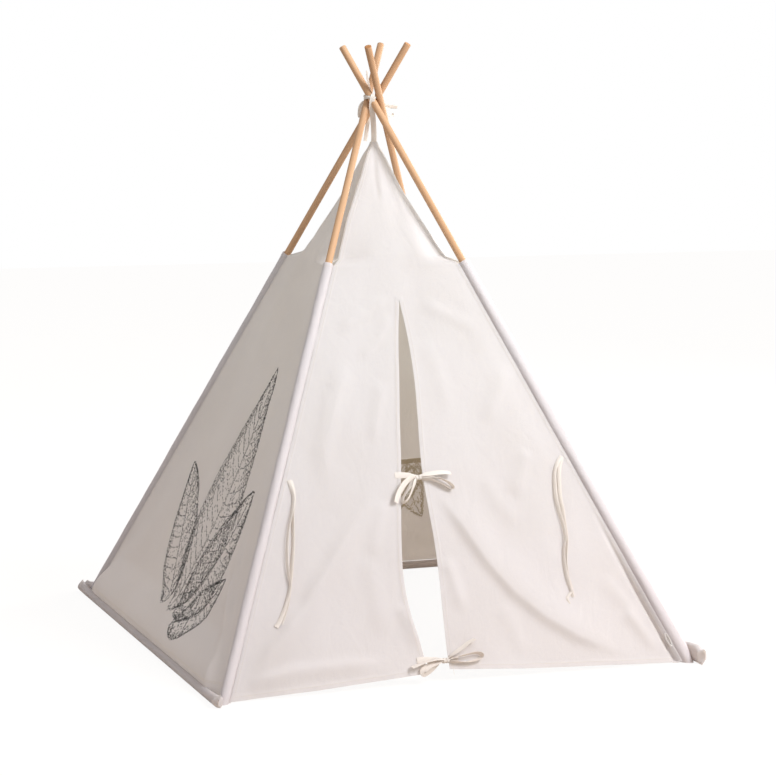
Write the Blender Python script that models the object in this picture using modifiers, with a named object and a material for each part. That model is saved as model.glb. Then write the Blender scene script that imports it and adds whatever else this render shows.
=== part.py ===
"""A kids' play teepee: four wooden poles lashed near their tops, a cotton cover sewn in four panels
with pole sleeves along its corners, rods in three of its hems, and a door of two tied flaps."""

import math

import bmesh
import bpy
from mathutils import Matrix, Vector

# Driving dimensions of the frame, in metres

WIDTH = 1.20
DEPTH = 1.28
CROSSING_HEIGHT = 1.3824
POLE_LENGTH = 1.79
POLE_DIAMETER = 0.018
POLE_BEVEL = 0.0008
SWIRL = 0.0165
GAP = 0.0003

# Pole sections, ferrules and sleeves

LOWER_SECTION = 0.90
FERRULE_LENGTH = 0.090
FERRULE_WALL = 0.0008
SLEEVE_LENGTH = 1.152
SLEEVE_BORE = 0.0106
SLEEVE_WALL = 0.0016
SEAM_REACH = 0.022
FOOT_FLOOR = 0.0015

# Cover

CLOTH = 0.0016
FRONT_HEM = 0.010
DOOR_TOP = 0.883
DOOR_SHIFT = -0.016
DOOR_HALF = 0.345
TOP_SEAM = 0.960
CORNER_TURN = (0.9655, 0.9850)
PEAK_HEIGHT = 1.270
PUFF = 0.010
PLEAT = 0.004
PLEATS = 3
BACK_FOLD = 0.008
DOOR_FOLD = 0.014
FOLD_SPREAD = 0.045
FOLD_FADE = 0.060

# Hems

HEM_RADIUS = 0.0115
HEM_WALL = 0.0016
HEM_OVERHANG = 0.040
HEM_LIFT = 0.0005
HEM_FLARE = 0.110
HEM_ROD = 0.016
ROD_END = 0.012

# Tapes

BOW_TAPE = 0.015
TIE_BACK_TAPE = 0.011
LASHING_BOW_TAPE = 0.010
TAPE_CLOTH = 0.0008
KNOT_PINCH = 0.56
KNOT_SPREAD = 0.024
KNOT_HEIGHT = 0.0080
KNOT_HALF = (0.0075, 0.0060, 0.0052)
KNOT_BEVEL = 0.0016
LASHING_KNOT = (0.0, 0.0336, 1.3815)
LASHING_KNOT_HALF = (0.0070, 0.0040, 0.0060)
LASHING_WIDTH = 0.012
LASHING_CLOTH = 0.0016
PEAK_TAPE_WIDTH = 0.0135
PEAK_TAPE_TAIL = 0.070
PEAK_TAIL_WIDTH = 0.006
PEAK_TAIL_LEAN = 0.017
TAG = (0.012, 0.001, 0.018)
TAG_PLACE = (0.5480, 0.054)

# Facets

ROUND = 24
SLIM_ROUND = 16
PANEL_CELLS = (14, 16)
FLAP_CELLS = (14, 18)
FRONT_CELLS = (20, 16)
TOP_COLUMNS = 10

# The slit's two edges as shares of half the width, by share of the door's height
SLIT_SHARES = (
    (0.000, -0.155, -0.057),
    (0.070, -0.152, -0.060),
    (0.300, -0.186, -0.037),
    (0.520, -0.124, -0.013),
    (0.780, -0.092, -0.022),
    (1.000, -0.030, -0.024),
)

# The corner seam above the sleeves: its distance from the axis as a share of the foot's,
# by share of the height from the sleeves' top to the peak
CORNER_SHARES = (
    (0.000, 0.2672),
    (0.081, 0.2430),
    (0.239, 0.2005),
    (0.368, 0.1679),
    (0.522, 0.1353),
    (0.676, 0.1026),
    (0.814, 0.0698),
    (0.920, 0.0370),
    (0.968, 0.0140),
    (1.000, 0.0096),
)

# Rows of the upper panels, as shares of their height
TOP_ROW_SHARES = (0.0, 0.018, 0.080, 0.150, 0.250, 0.370, 0.520, 0.680, 0.815, 0.920, 0.968, 1.0)

# Creases of each panel: two ends as shares of its half width and height, and depth as a share
PANEL_CREASE_SHARES = (
    ((-0.95, 0.02), (-0.15, 0.70), 1.0),
    ((0.95, 0.02), (0.20, 0.62), 0.8),
    ((0.10, 0.95), (0.00, 0.20), 0.6),
)
FLAP_CREASE_SHARES = {
    -1: (
        ((-0.28, 0.38), (-0.50, 0.08), 0.7),
        ((-0.18, 0.68), (-0.22, 0.56), 0.4),
    ),
    1: (
        ((0.14, 0.38), (0.48, 0.10), 1.0),
        ((0.06, 0.66), (0.16, 0.56), 0.4),
    ),
}

CORNERS = {
    "front_left": (-1, -1),
    "front_right": (1, -1),
    "rear_right": (1, 1),
    "rear_left": (-1, 1),
}
FACES = {
    "front": ("front_left", "front_right"),
    "right": ("front_right", "rear_right"),
    "back": ("rear_right", "rear_left"),
    "left": ("rear_left", "front_left"),
}
UP = Vector((0, 0, 1))
FRONT_NORMAL = Vector((0, -CROSSING_HEIGHT, DEPTH / 2)).normalized()


# Scene helpers

def clear_scene():
    for obj in list(bpy.data.objects):
        bpy.data.objects.remove(obj, do_unlink=True)


def collection(name):
    made = bpy.data.collections.new(name)
    bpy.context.scene.collection.children.link(made)
    return made


def finish(name, colour, roughness, metallic=0.0):
    made = bpy.data.materials.new(name)
    made.use_nodes = True
    shader = made.node_tree.nodes["Principled BSDF"]
    shader.inputs["Base Color"].default_value = (*colour, 1.0)
    shader.inputs["Roughness"].default_value = roughness
    shader.inputs["Metallic"].default_value = metallic
    made.diffuse_color = (*colour, 1.0)
    return made


clear_scene()
TEEPEE = collection("teepee")
CUTTERS = collection("cutters")
COTTON = finish("cotton", (0.86, 0.82, 0.79), 0.9)
TAPE_COTTON = finish("tape_cotton", (0.88, 0.84, 0.79), 0.9)
BEECH = finish("beech", (0.74, 0.50, 0.29), 0.5)
ALUMINIUM = finish("aluminium", (0.78, 0.78, 0.80), 0.35, 1.0)
PAPER = finish("tag_cotton", (0.90, 0.88, 0.86), 0.8)


def place(name, mesh, material, matrix=None, where=TEEPEE, smooth=True):
    obj = bpy.data.objects.new(name, mesh)
    where.objects.link(obj)
    obj.matrix_world = matrix or Matrix.Identity(4)
    if material:
        mesh.materials.clear()
        mesh.materials.append(material)
    if smooth:
        mesh.shade_smooth()
        mesh.set_sharp_from_angle(angle=math.radians(40))
    return obj


def cutter(name, mesh, matrix=None):
    obj = place(name, mesh, None, matrix, CUTTERS, smooth=False)
    obj.hide_render = True
    obj.display_type = "WIRE"
    return obj


def cut(obj, tool):
    step = obj.modifiers.new("cut_" + tool.name, "BOOLEAN")
    step.operation = "DIFFERENCE"
    step.solver = "EXACT"
    step.object = tool


def cylinder_mesh(name, radius, length, sides, bevel=0.0):
    """A cylinder from z = 0 up to its length."""
    bm = bmesh.new()
    bmesh.ops.create_cone(
        bm, cap_ends=True, segments=sides, radius1=radius, radius2=radius, depth=length,
        matrix=Matrix.Translation((0, 0, length / 2)),
    )
    if bevel:
        rims = [e for e in bm.edges if e.is_manifold and e.calc_face_angle() > math.radians(60)]
        bmesh.ops.bevel(bm, geom=rims, offset=bevel, segments=1, affect="EDGES")
    mesh = bpy.data.meshes.new(name)
    bm.to_mesh(mesh)
    bm.free()
    return mesh


def box_mesh(name, low, high):
    bm = bmesh.new()
    size = Vector(high) - Vector(low)
    middle = (Vector(high) + Vector(low)) / 2
    bmesh.ops.create_cube(bm, size=1, matrix=Matrix.Translation(middle) @ Matrix.Diagonal((*size, 1)))
    mesh = bpy.data.meshes.new(name)
    bm.to_mesh(mesh)
    bm.free()
    return mesh


def prism_mesh(name, outline, half_length):
    """A flat outline in XY, made solid by an extruded 2D curve, from -half_length to half_length."""
    curve = bpy.data.curves.new(name, "CURVE")
    curve.dimensions = "2D"
    curve.fill_mode = "BOTH"
    curve.extrude = half_length
    spline = curve.splines.new("POLY")
    spline.points.add(len(outline) - 1)
    for point, (x, y) in zip(spline.points, outline):
        point.co = (x, y, 0, 1)
    spline.use_cyclic_u = True
    holder = bpy.data.objects.new(name, curve)
    CUTTERS.objects.link(holder)
    graph = bpy.context.evaluated_depsgraph_get()
    mesh = bpy.data.meshes.new_from_object(holder.evaluated_get(graph))
    bpy.data.objects.remove(holder)
    bm = bmesh.new()
    bm.from_mesh(mesh)
    bmesh.ops.remove_doubles(bm, verts=bm.verts, dist=GAP / 10)
    bmesh.ops.recalc_face_normals(bm, faces=bm.faces)
    bm.to_mesh(mesh)
    bm.free()
    mesh.name = name
    return mesh


def sheet(name, cells, point_at, thickness, material, offset=1.0):
    """Cloth: a unit grid laid over point_at(u, v) and given its thickness by Solidify."""
    bm = bmesh.new()
    bmesh.ops.create_grid(bm, x_segments=cells[0], y_segments=cells[1], size=1)
    for vertex in bm.verts:
        vertex.co = point_at((vertex.co.x + 1) / 2, (vertex.co.y + 1) / 2)
    mesh = bpy.data.meshes.new(name)
    bm.to_mesh(mesh)
    bm.free()
    obj = place(name, mesh, material)
    wall = obj.modifiers.new("cloth", "SOLIDIFY")
    wall.thickness = thickness
    wall.offset = offset
    return obj


# Curves and fades

def ease(t):
    t = min(1.0, max(0.0, t))
    return t * t * (3 - 2 * t)


def mixed(a, b, share):
    return a + (b - a) * share


def read_table(table, x):
    """The columns of a table at x, on a smooth curve through its rows."""
    last = len(table) - 1
    i = max(k for k in range(last) if k == 0 or table[k][0] <= x)
    low, high = table[i], table[i + 1]
    before = table[max(i - 1, 0)]
    after = table[min(i + 2, last)]
    span = high[0] - low[0]
    t = (x - low[0]) / span
    found = []
    for k in range(1, len(low)):
        slope_low = (high[k] - before[k]) / (high[0] - before[0]) * span
        slope_high = (after[k] - low[k]) / (after[0] - low[0]) * span
        found.append(
            low[k] * (1 + 2 * t) * (1 - t) ** 2
            + slope_low * t * (1 - t) ** 2
            + high[k] * t * t * (3 - 2 * t)
            + slope_high * t * t * (t - 1)
        )
    return found


def smooth_route(points, steps):
    """Points on a smooth curve through a route, with this many steps between two of its points."""
    route = [Vector(p) for p in points]
    ends = [route[0] * 2 - route[1]] + route + [route[-1] * 2 - route[-2]]
    found = []
    for i in range(len(route) - 1):
        a, b, c, d = ends[i:i + 4]
        for k in range(steps):
            t = k / steps
            found.append(
                b
                + (c - a) * (t / 2)
                + (a * 2 - b * 5 + c * 4 - d) * (t * t / 2)
                + (b * 3 - a - c * 3 + d) * (t ** 3 / 2)
            )
    return found + [route[-1]]


def crease(x, z, ends, depth, spread):
    """A soft ridge of this depth along the line between two points of a panel, fading at its ends."""
    (x0, z0), (x1, z1) = ends
    dx, dz = x1 - x0, z1 - z0
    length = math.hypot(dx, dz)
    along = ((x - x0) * dx + (z - z0) * dz) / length
    off = ((x - x0) * dz - (z - z0) * dx) / length
    fade = ease((along + spread) / (spread * 2)) * ease((length - along + spread) / (spread * 2))
    return depth * fade * math.exp(-((off / spread) ** 2))


# Frame geometry: every pole runs straight from its foot past the axis, on the axis's left

class Pole:
    def __init__(self, corner):
        across, away = CORNERS[corner]
        self.name = corner
        self.foot = Vector((across * WIDTH / 2, away * DEPTH / 2, 0))
        reach = self.foot.length
        turn = math.asin(SWIRL / reach)
        heading = Matrix.Rotation(turn, 3, "Z") @ (-self.foot).normalized()
        self.along = (heading * reach * math.cos(turn) + UP * CROSSING_HEIGHT).normalized()
        self.side = UP.cross(heading)
        self.out = self.along.cross(self.side)
        axes = Matrix((self.side, self.out, self.along)).transposed().to_4x4()
        self.matrix = Matrix.Translation(self.foot) @ axes
        self.tilt = math.acos(self.along.z)

    def at(self, distance):
        """The pole's own frame, moved this far up the pole."""
        return Matrix.Translation(self.along * distance) @ self.matrix

    def seam_direction(self, other):
        towards = (other.foot - self.foot).normalized()
        return (towards - self.along * towards.dot(self.along)).normalized()

    def seam_point(self, other, z):
        """Where the panel between this pole and the other one begins, at height z."""
        start = self.foot + self.seam_direction(other) * (SEAM_REACH + GAP)
        return start + self.along * ((z - start.z) / self.along.z)

    def foot_reach(self, axis):
        """How far the sleeve's level cut reaches from the foot along a level axis."""
        lean = Vector((self.along.x, self.along.y, 0)).normalized()
        long_half = SLEEVE_OUTER / self.along.z * lean.dot(axis)
        return math.hypot(long_half, SLEEVE_OUTER * self.side.dot(axis))


SLEEVE_OUTER = SLEEVE_BORE + SLEEVE_WALL
POLES = {corner: Pole(corner) for corner in CORNERS}
POLE_RADIUS = POLE_DIAMETER / 2
BORE_START = (FOOT_FLOOR + SLEEVE_BORE * math.sin(POLES["front_left"].tilt)) / POLES["front_left"].along.z
POLE_START = BORE_START + GAP


# Poles, ferrules and sleeves

def make_pole(pole):
    lower = cylinder_mesh("pole_lower", POLE_RADIUS, LOWER_SECTION - POLE_START, ROUND, POLE_BEVEL)
    upper_length = POLE_LENGTH - LOWER_SECTION - GAP
    upper = cylinder_mesh("pole_upper", POLE_RADIUS, upper_length, ROUND, POLE_BEVEL)
    place("pole_lower_" + pole.name, lower, BEECH, pole.at(POLE_START))
    place("pole_upper_" + pole.name, upper, BEECH, pole.at(LOWER_SECTION + GAP))


def make_ferrule(pole):
    inner = POLE_RADIUS + GAP
    name = "ferrule_" + pole.name
    start = LOWER_SECTION - FERRULE_LENGTH / 2
    tube = place(name, cylinder_mesh(name, inner + FERRULE_WALL, FERRULE_LENGTH, ROUND), ALUMINIUM,
                 pole.at(start))
    bore = cylinder_mesh("bore_" + name, inner, FERRULE_LENGTH * 2, ROUND)
    cut(tube, cutter("bore_" + name, bore, pole.at(start - FERRULE_LENGTH / 2)))


def sleeve_outline(pole):
    """A round tube of cloth with two seam allowances, one along each panel that meets here."""
    angles = []
    for corner in neighbours(pole.name):
        direction = pole.seam_direction(POLES[corner])
        angles.append(math.atan2(direction.dot(pole.out), direction.dot(pole.side)) % math.tau)
    angles.sort()
    half = math.asin(CLOTH / 2 / SLEEVE_OUTER)
    outline = []
    for start, end in zip(angles, angles[1:] + [angles[0] + math.tau]):
        turn = Matrix.Rotation(start, 2)
        for edge in (-CLOTH / 2, CLOTH / 2):
            outline.append(turn @ Vector((SEAM_REACH, edge)))
        first, last = start + half, end - half
        steps = max(3, round(ROUND * (last - first) / math.tau))
        for k in range(steps + 1):
            angle = mixed(first, last, k / steps)
            outline.append(Vector((math.cos(angle), math.sin(angle))) * SLEEVE_OUTER)
    return outline


def neighbours(corner):
    return [b if a == corner else a for a, b in FACES.values() if corner in (a, b)]


def make_sleeve(pole):
    name = "sleeve_" + pole.name
    below = SEAM_REACH * 2
    length = SLEEVE_LENGTH + below
    mesh = prism_mesh(name, sleeve_outline(pole), length / 2)
    sleeve = place(name, mesh, COTTON, pole.at(length / 2 - below))
    bore = cylinder_mesh("bore_" + name, SLEEVE_BORE, SLEEVE_LENGTH, ROUND)
    cut(sleeve, cutter("bore_" + name, bore, pole.at(BORE_START)))
    reach = Vector((below, below, 0)) * 2
    ground = box_mesh("ground_" + name, pole.foot - reach - UP * below * 2, pole.foot + reach)
    cut(sleeve, cutter("ground_" + name, ground))


# Cover panels

def out_of(face):
    a, b = (POLES[corner].foot for corner in FACES[face])
    return ((a + b) / 2).normalized()


def seam_points(face, z):
    a, b = (POLES[corner] for corner in FACES[face])
    return a.seam_point(b, z), b.seam_point(a, z)


def side_fade(u, width):
    return ease(u * width / FOLD_FADE) * ease((1 - u) * width / FOLD_FADE)


def panel_creases(u, z, width, shares, depth):
    high = TOP_SEAM
    total = 0.0
    for (ends_low, ends_high, part) in shares:
        ends = ((ends_low[0] * width / 2, ends_low[1] * high), (ends_high[0] * width / 2, ends_high[1] * high))
        total += crease((u - 0.5) * width, z, ends, depth * part, FOLD_SPREAD)
    return total


def hem_centre(face):
    """Where the rod in a hem lies: how far out, and how high. The hem tube clears the sleeves' feet."""
    pole = POLES[FACES[face][0]]
    outward = out_of(face)
    height = HEM_LIFT + HEM_RADIUS
    start = abs(pole.foot.dot(outward)) + pole.foot_reach(outward)
    lean = abs(pole.along.dot(outward)) / pole.along.z
    return start - lean * height + (HEM_RADIUS + GAP) * math.hypot(1, lean), height


def make_lower_panel(face):
    """A whole panel from its hem up to the top seam. Its foot flares out on to the hem tube."""
    outward = out_of(face)
    far, height = hem_centre(face)
    bottom = height + HEM_RADIUS + GAP

    def point_at(u, v):
        z = mixed(bottom, TOP_SEAM, v)
        left, right = seam_points(face, z)
        width = (right - left).length
        point = mixed(left, right, u)
        fold = panel_creases(u, z, width, PANEL_CREASE_SHARES, BACK_FOLD) * ease((TOP_SEAM - z) / FOLD_FADE)
        flare = (far - CLOTH / 2 - point.dot(outward)) * ease(1 - (z - bottom) / HEM_FLARE)
        fade = side_fade(u, width)
        upper = ease((z - bottom) / HEM_FLARE)
        return point + outward * fade * (fold * upper + flare)

    return sheet(face + "_panel", PANEL_CELLS, point_at, CLOTH, COTTON)


def door_plane(x, z):
    """A point of the flat middle of the front panel."""
    return Vector((x, -DEPTH / 2 * (1 - z / CROSSING_HEIGHT), z))


def hinge_x(side, z):
    """Where a flap's crease crosses height z; side is -1 for the left flap."""
    share = min(1.0, (z - FRONT_HEM) / (DOOR_TOP - FRONT_HEM))
    return mixed(side * DOOR_HALF, DOOR_SHIFT, share)


def front_point(x, z):
    """A point of the front panel: flat between the door's creases, and ruled out to the seams."""
    left, right = seam_points("front", z)
    for seam, side in ((left, -1), (right, 1)):
        edge = hinge_x(side, z)
        if (x - edge) * side > 0:
            return mixed(door_plane(edge, z), seam, (x - edge) / (seam.x - edge))
    return door_plane(x, z)


def make_front_panel():
    def point_at(u, v):
        z = mixed(FRONT_HEM, TOP_SEAM, v)
        left, right = seam_points("front", z)
        return front_point(mixed(left.x, right.x, u), z)

    panel = sheet("front_panel", FRONT_CELLS, point_at, CLOTH, COTTON)
    slope = (DOOR_TOP - FRONT_HEM) / DOOR_HALF
    low = FRONT_HEM - DOOR_HALF / 4
    spread = (FRONT_HEM - low) / slope
    outline = (
        (-DOOR_HALF - spread * (1 + DOOR_SHIFT / DOOR_HALF), low),
        (DOOR_HALF + spread * (1 - DOOR_SHIFT / DOOR_HALF), low),
        (DOOR_SHIFT, DOOR_TOP),
    )
    turn = Matrix.Rotation(math.pi / 2, 4, "X")
    cut(panel, cutter("door_opening", prism_mesh("door_opening", outline, DEPTH), turn))


def slit_x(side, z):
    share = (z - FRONT_HEM) / (DOOR_TOP - FRONT_HEM)
    return read_table(SLIT_SHARES, share)[0 if side < 0 else 1] * WIDTH / 2


def flap_top():
    return DOOR_TOP - FOLD_FADE / 2


def flap_fold(side, x, z):
    """How far a flap's creases lift it off the door's plane."""
    hinge = hinge_x(side, z)
    edge = slit_x(side, z)
    if (x - edge) * side < 0 or (x - hinge) * side > 0:
        return 0.0
    depth = 0.0
    for low, high, part in FLAP_CREASE_SHARES[side]:
        ends = ((low[0] * WIDTH / 2, low[1] * TOP_SEAM), (high[0] * WIDTH / 2, high[1] * TOP_SEAM))
        depth += crease(x, z, ends, DOOR_FOLD * part, FOLD_SPREAD)
    fade = ease(abs(x - hinge) / FOLD_FADE) * ease(abs(x - edge) / FOLD_FADE)
    return depth * fade * ease((flap_top() - z) / FOLD_FADE)


def make_flap(name, side):
    def point_at(u, v):
        z = mixed(FRONT_HEM, flap_top(), v)
        hinge = hinge_x(side, z) - side * GAP * 3
        edge = slit_x(side, z)
        inner, outer = (hinge, edge) if side < 0 else (edge, hinge)
        x = mixed(inner, outer, u)
        return door_plane(x, z) + FRONT_NORMAL * flap_fold(side, x, z)

    sheet(name, FLAP_CELLS, point_at, CLOTH, COTTON)


def corner_point(corner, z):
    """The seam between two panels, above the sleeves."""
    share = (z - TOP_SEAM) / (PEAK_HEIGHT - TOP_SEAM)
    return POLES[corner].foot * read_table(CORNER_SHARES, share)[0] + UP * z


def make_top(face):
    """The upper part of a panel, which leaves the poles and narrows to the gathered peak."""
    outward = out_of(face)
    bottom = TOP_SEAM + GAP
    corners = FACES[face]
    rows = len(TOP_ROW_SHARES) - 1

    def point_at(u, v):
        share = TOP_ROW_SHARES[round(v * rows)]
        z = mixed(bottom, PEAK_HEIGHT, share)
        turn = ease((z - CORNER_TURN[0]) / (CORNER_TURN[1] - CORNER_TURN[0]))
        a, b = (mixed(seam, corner_point(corner, z), turn) for seam, corner in zip(seam_points(face, z), corners))
        inset = (b - a).normalized() * GAP * turn
        across = 1 - (2 * u - 1) ** 2
        puff = PUFF * across * math.sin(math.pi * share)
        pleat = PLEAT * across * share * ease((1 - share) * 2) * math.cos(math.pi * PLEATS * (u - 0.5)) ** 2
        return mixed(a + inset, b - inset, u) + outward * (puff + pleat)

    sheet(face + "_panel_top", (TOP_COLUMNS, rows), point_at, CLOTH, COTTON)


# Hems and their rods

def along_hem(face):
    """The hem's middle point and its direction."""
    far, height = hem_centre(face)
    return out_of(face) * far + UP * height, UP.cross(out_of(face))


def hem_half(face):
    if face == "back":
        return hem_centre("left")[0] - HEM_RADIUS - GAP
    return DEPTH / 2 + HEM_OVERHANG


def level_frame(start, direction):
    side = UP.cross(direction)
    axes = Matrix((side, UP, direction)).transposed().to_4x4()
    return Matrix.Translation(start) @ axes


def make_hem(face):
    middle, direction = along_hem(face)
    half = hem_half(face)
    name = "hem_casing_" + face
    tube = place(name, cylinder_mesh(name, HEM_RADIUS, half * 2, SLIM_ROUND), COTTON,
                 level_frame(middle - direction * half, direction))
    bore = cylinder_mesh("bore_" + name, HEM_RADIUS - HEM_WALL, half * 4, SLIM_ROUND)
    cut(tube, cutter("bore_" + name, bore, level_frame(middle - direction * half * 2, direction)))
    rod_half = half - ROD_END
    for end, sign in (("a", -1), ("b", 1)):
        rod = cylinder_mesh("hem_rod", HEM_ROD / 2, rod_half - GAP / 2, SLIM_ROUND, POLE_BEVEL)
        start = middle + direction * sign * GAP / 2
        drop = UP * (HEM_RADIUS - HEM_WALL - HEM_ROD / 2 - GAP)
        place(f"hem_rod_{face}_{end}", rod, BEECH, level_frame(start - drop, direction * sign))


# Tapes: routes on the door are (x, z, height above the cloth's inner face); the others are (x, y, z)

UPPER_KNOT = (-0.042, 0.463)
LOWER_KNOT = (-0.042, 0.050)
UPPER_LEFT_TIE = (
    (
        (-0.0900, 0.4635, 0.0028), (-0.0740, 0.4635, 0.0032), (-0.0580, 0.4630, 0.0048),
        (-0.0460, 0.4630, 0.0060),
    ),
    (
        (-0.0460, 0.4600, 0.0072), (-0.0520, 0.4560, 0.0070), (-0.0590, 0.4480, 0.0068),
        (-0.0660, 0.4360, 0.0068), (-0.0715, 0.4230, 0.0072), (-0.0740, 0.4150, 0.0086),
        (-0.0732, 0.4172, 0.0106), (-0.0692, 0.4280, 0.0120), (-0.0635, 0.4400, 0.0120),
        (-0.0570, 0.4510, 0.0106), (-0.0510, 0.4585, 0.0094), (-0.0460, 0.4620, 0.0090),
    ),
    (
        (-0.0460, 0.4640, 0.0108), (-0.0540, 0.4630, 0.0130), (-0.0640, 0.4580, 0.0148),
        (-0.0740, 0.4470, 0.0154), (-0.0830, 0.4330, 0.0150), (-0.0910, 0.4180, 0.0138),
        (-0.0970, 0.4060, 0.0124),
    ),
)
UPPER_RIGHT_TIE = (
    (
        (0.0140, 0.4635, 0.0028), (-0.0020, 0.4635, 0.0034), (-0.0200, 0.4630, 0.0048),
        (-0.0380, 0.4630, 0.0060),
    ),
    (
        (-0.0380, 0.4620, 0.0076), (-0.0280, 0.4605, 0.0078), (-0.0160, 0.4580, 0.0078),
        (0.0000, 0.4545, 0.0076), (0.0180, 0.4505, 0.0072), (0.0360, 0.4465, 0.0070),
        (0.0480, 0.4440, 0.0076), (0.0525, 0.4430, 0.0094), (0.0480, 0.4442, 0.0114),
        (0.0340, 0.4485, 0.0124), (0.0140, 0.4540, 0.0126), (-0.0080, 0.4590, 0.0120),
        (-0.0260, 0.4620, 0.0110), (-0.0380, 0.4630, 0.0098),
    ),
    (
        (-0.0380, 0.4640, 0.0112), (-0.0280, 0.4660, 0.0136), (-0.0140, 0.4690, 0.0150),
        (0.0040, 0.4715, 0.0152), (0.0220, 0.4725, 0.0144), (0.0410, 0.4725, 0.0130),
    ),
)
LOWER_LEFT_TIE = (
    (
        (-0.1120, 0.0520, 0.0028), (-0.0940, 0.0520, 0.0032), (-0.0760, 0.0510, 0.0040),
        (-0.0600, 0.0500, 0.0052), (-0.0460, 0.0500, 0.0060),
    ),
    (
        (-0.0460, 0.0490, 0.0072), (-0.0540, 0.0460, 0.0070), (-0.0640, 0.0410, 0.0068),
        (-0.0760, 0.0340, 0.0068), (-0.0870, 0.0275, 0.0072), (-0.0940, 0.0240, 0.0086),
        (-0.0930, 0.0255, 0.0106), (-0.0860, 0.0310, 0.0118), (-0.0740, 0.0385, 0.0116),
        (-0.0610, 0.0455, 0.0100), (-0.0520, 0.0490, 0.0088), (-0.0460, 0.0500, 0.0084),
    ),
    (
        (-0.0460, 0.0505, 0.0108), (-0.0540, 0.0510, 0.0130), (-0.0640, 0.0505, 0.0146),
        (-0.0760, 0.0485, 0.0152), (-0.0920, 0.0440, 0.0148), (-0.1090, 0.0390, 0.0136),
        (-0.1260, 0.0340, 0.0124),
    ),
)
LOWER_RIGHT_TIE = (
    (
        (-0.0060, 0.0500, 0.0028), (-0.0180, 0.0500, 0.0034), (-0.0280, 0.0500, 0.0048),
        (-0.0380, 0.0500, 0.0060),
    ),
    (
        (-0.0380, 0.0500, 0.0076), (-0.0280, 0.0510, 0.0078), (-0.0160, 0.0525, 0.0078),
        (0.0000, 0.0540, 0.0076), (0.0180, 0.0560, 0.0072), (0.0360, 0.0585, 0.0070),
        (0.0470, 0.0600, 0.0076), (0.0515, 0.0608, 0.0094), (0.0470, 0.0606, 0.0114),
        (0.0340, 0.0590, 0.0124), (0.0140, 0.0560, 0.0126), (-0.0080, 0.0535, 0.0120),
        (-0.0260, 0.0510, 0.0110), (-0.0380, 0.0500, 0.0098),
    ),
    (
        (-0.0380, 0.0510, 0.0112), (-0.0320, 0.0550, 0.0138), (-0.0240, 0.0620, 0.0156),
        (-0.0140, 0.0700, 0.0160), (-0.0020, 0.0790, 0.0154), (0.0110, 0.0880, 0.0142),
        (0.0240, 0.0970, 0.0128),
    ),
)
# The tie-backs: how far in from the seam, how high, and how far out from the cloth
TIE_BACK_LEFT = (
    (0.0211, 0.468, 0.0024), (0.0248, 0.450, 0.0030), (0.0314, 0.425, 0.0040), (0.0417, 0.395, 0.0046),
    (0.0542, 0.362, 0.0052), (0.0652, 0.328, 0.0056), (0.0750, 0.293, 0.0058), (0.0814, 0.258, 0.0058),
    (0.0857, 0.222, 0.0056), (0.0880, 0.186, 0.0052), (0.0903, 0.150, 0.0046),
)
TIE_BACK_RIGHT = (
    (0.0224, 0.487, 0.0024), (0.0329, 0.470, 0.0030), (0.0490, 0.445, 0.0040), (0.0687, 0.414, 0.0046),
    (0.0888, 0.380, 0.0052), (0.1077, 0.344, 0.0056), (0.1255, 0.306, 0.0058), (0.1423, 0.268, 0.0058),
    (0.1602, 0.230, 0.0056), (0.1785, 0.193, 0.0052), (0.1970, 0.158, 0.0046),
)
TIE_BACK_PAIR = (0.0090, 0.0004)
LASHING_BOW = (
    (
        (-0.0010, 0.0340, 1.3800), (-0.0028, 0.0390, 1.3700), (-0.0034, 0.0440, 1.3580),
        (-0.0038, 0.0470, 1.3450), (-0.0040, 0.0485, 1.3300), (-0.0042, 0.0498, 1.3120),
        (-0.0044, 0.0500, 1.2920), (-0.0046, 0.0500, 1.2730),
    ),
    (
        (-0.0030, 0.0340, 1.3830), (-0.0090, 0.0370, 1.3810), (-0.0160, 0.0440, 1.3730),
        (-0.0200, 0.0478, 1.3600), (-0.0205, 0.0488, 1.3440), (-0.0180, 0.0500, 1.3320),
        (-0.0130, 0.0530, 1.3300), (-0.0110, 0.0545, 1.3420), (-0.0100, 0.0530, 1.3560),
        (-0.0070, 0.0470, 1.3690), (-0.0020, 0.0355, 1.3800),
    ),
    (
        (0.0030, 0.0330, 1.3830), (0.0150, 0.0390, 1.3810), (0.0290, 0.0440, 1.3740),
        (0.0430, 0.0455, 1.3620), (0.0560, 0.0460, 1.3470), (0.0620, 0.0475, 1.3350),
        (0.0570, 0.0500, 1.3300), (0.0460, 0.0510, 1.3370), (0.0340, 0.0510, 1.3500),
        (0.0200, 0.0500, 1.3640), (0.0090, 0.0440, 1.3750), (0.0030, 0.0350, 1.3800),
    ),
    (
        (0.0020, 0.0365, 1.3820), (0.0100, 0.0450, 1.3790), (0.0200, 0.0520, 1.3730),
        (0.0320, 0.0550, 1.3670), (0.0460, 0.0550, 1.3610), (0.0620, 0.0540, 1.3560),
        (0.0780, 0.0530, 1.3530),
    ),
)


def on_door(points):
    return [door_plane(x, z) + FRONT_NORMAL * lift for x, z, lift in points]


def beside_seam(side, points, further=0.0, lift_more=0.0):
    """Points in from one of the front's seams; side is -1 for the left seam."""
    line = []
    for inset, z, lift in points:
        seam = seam_points("front", z)[0 if side < 0 else 1]
        point = front_point(seam.x - side * (inset + further), z)
        line.append(point + FRONT_NORMAL * (lift + lift_more))
    return line


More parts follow.
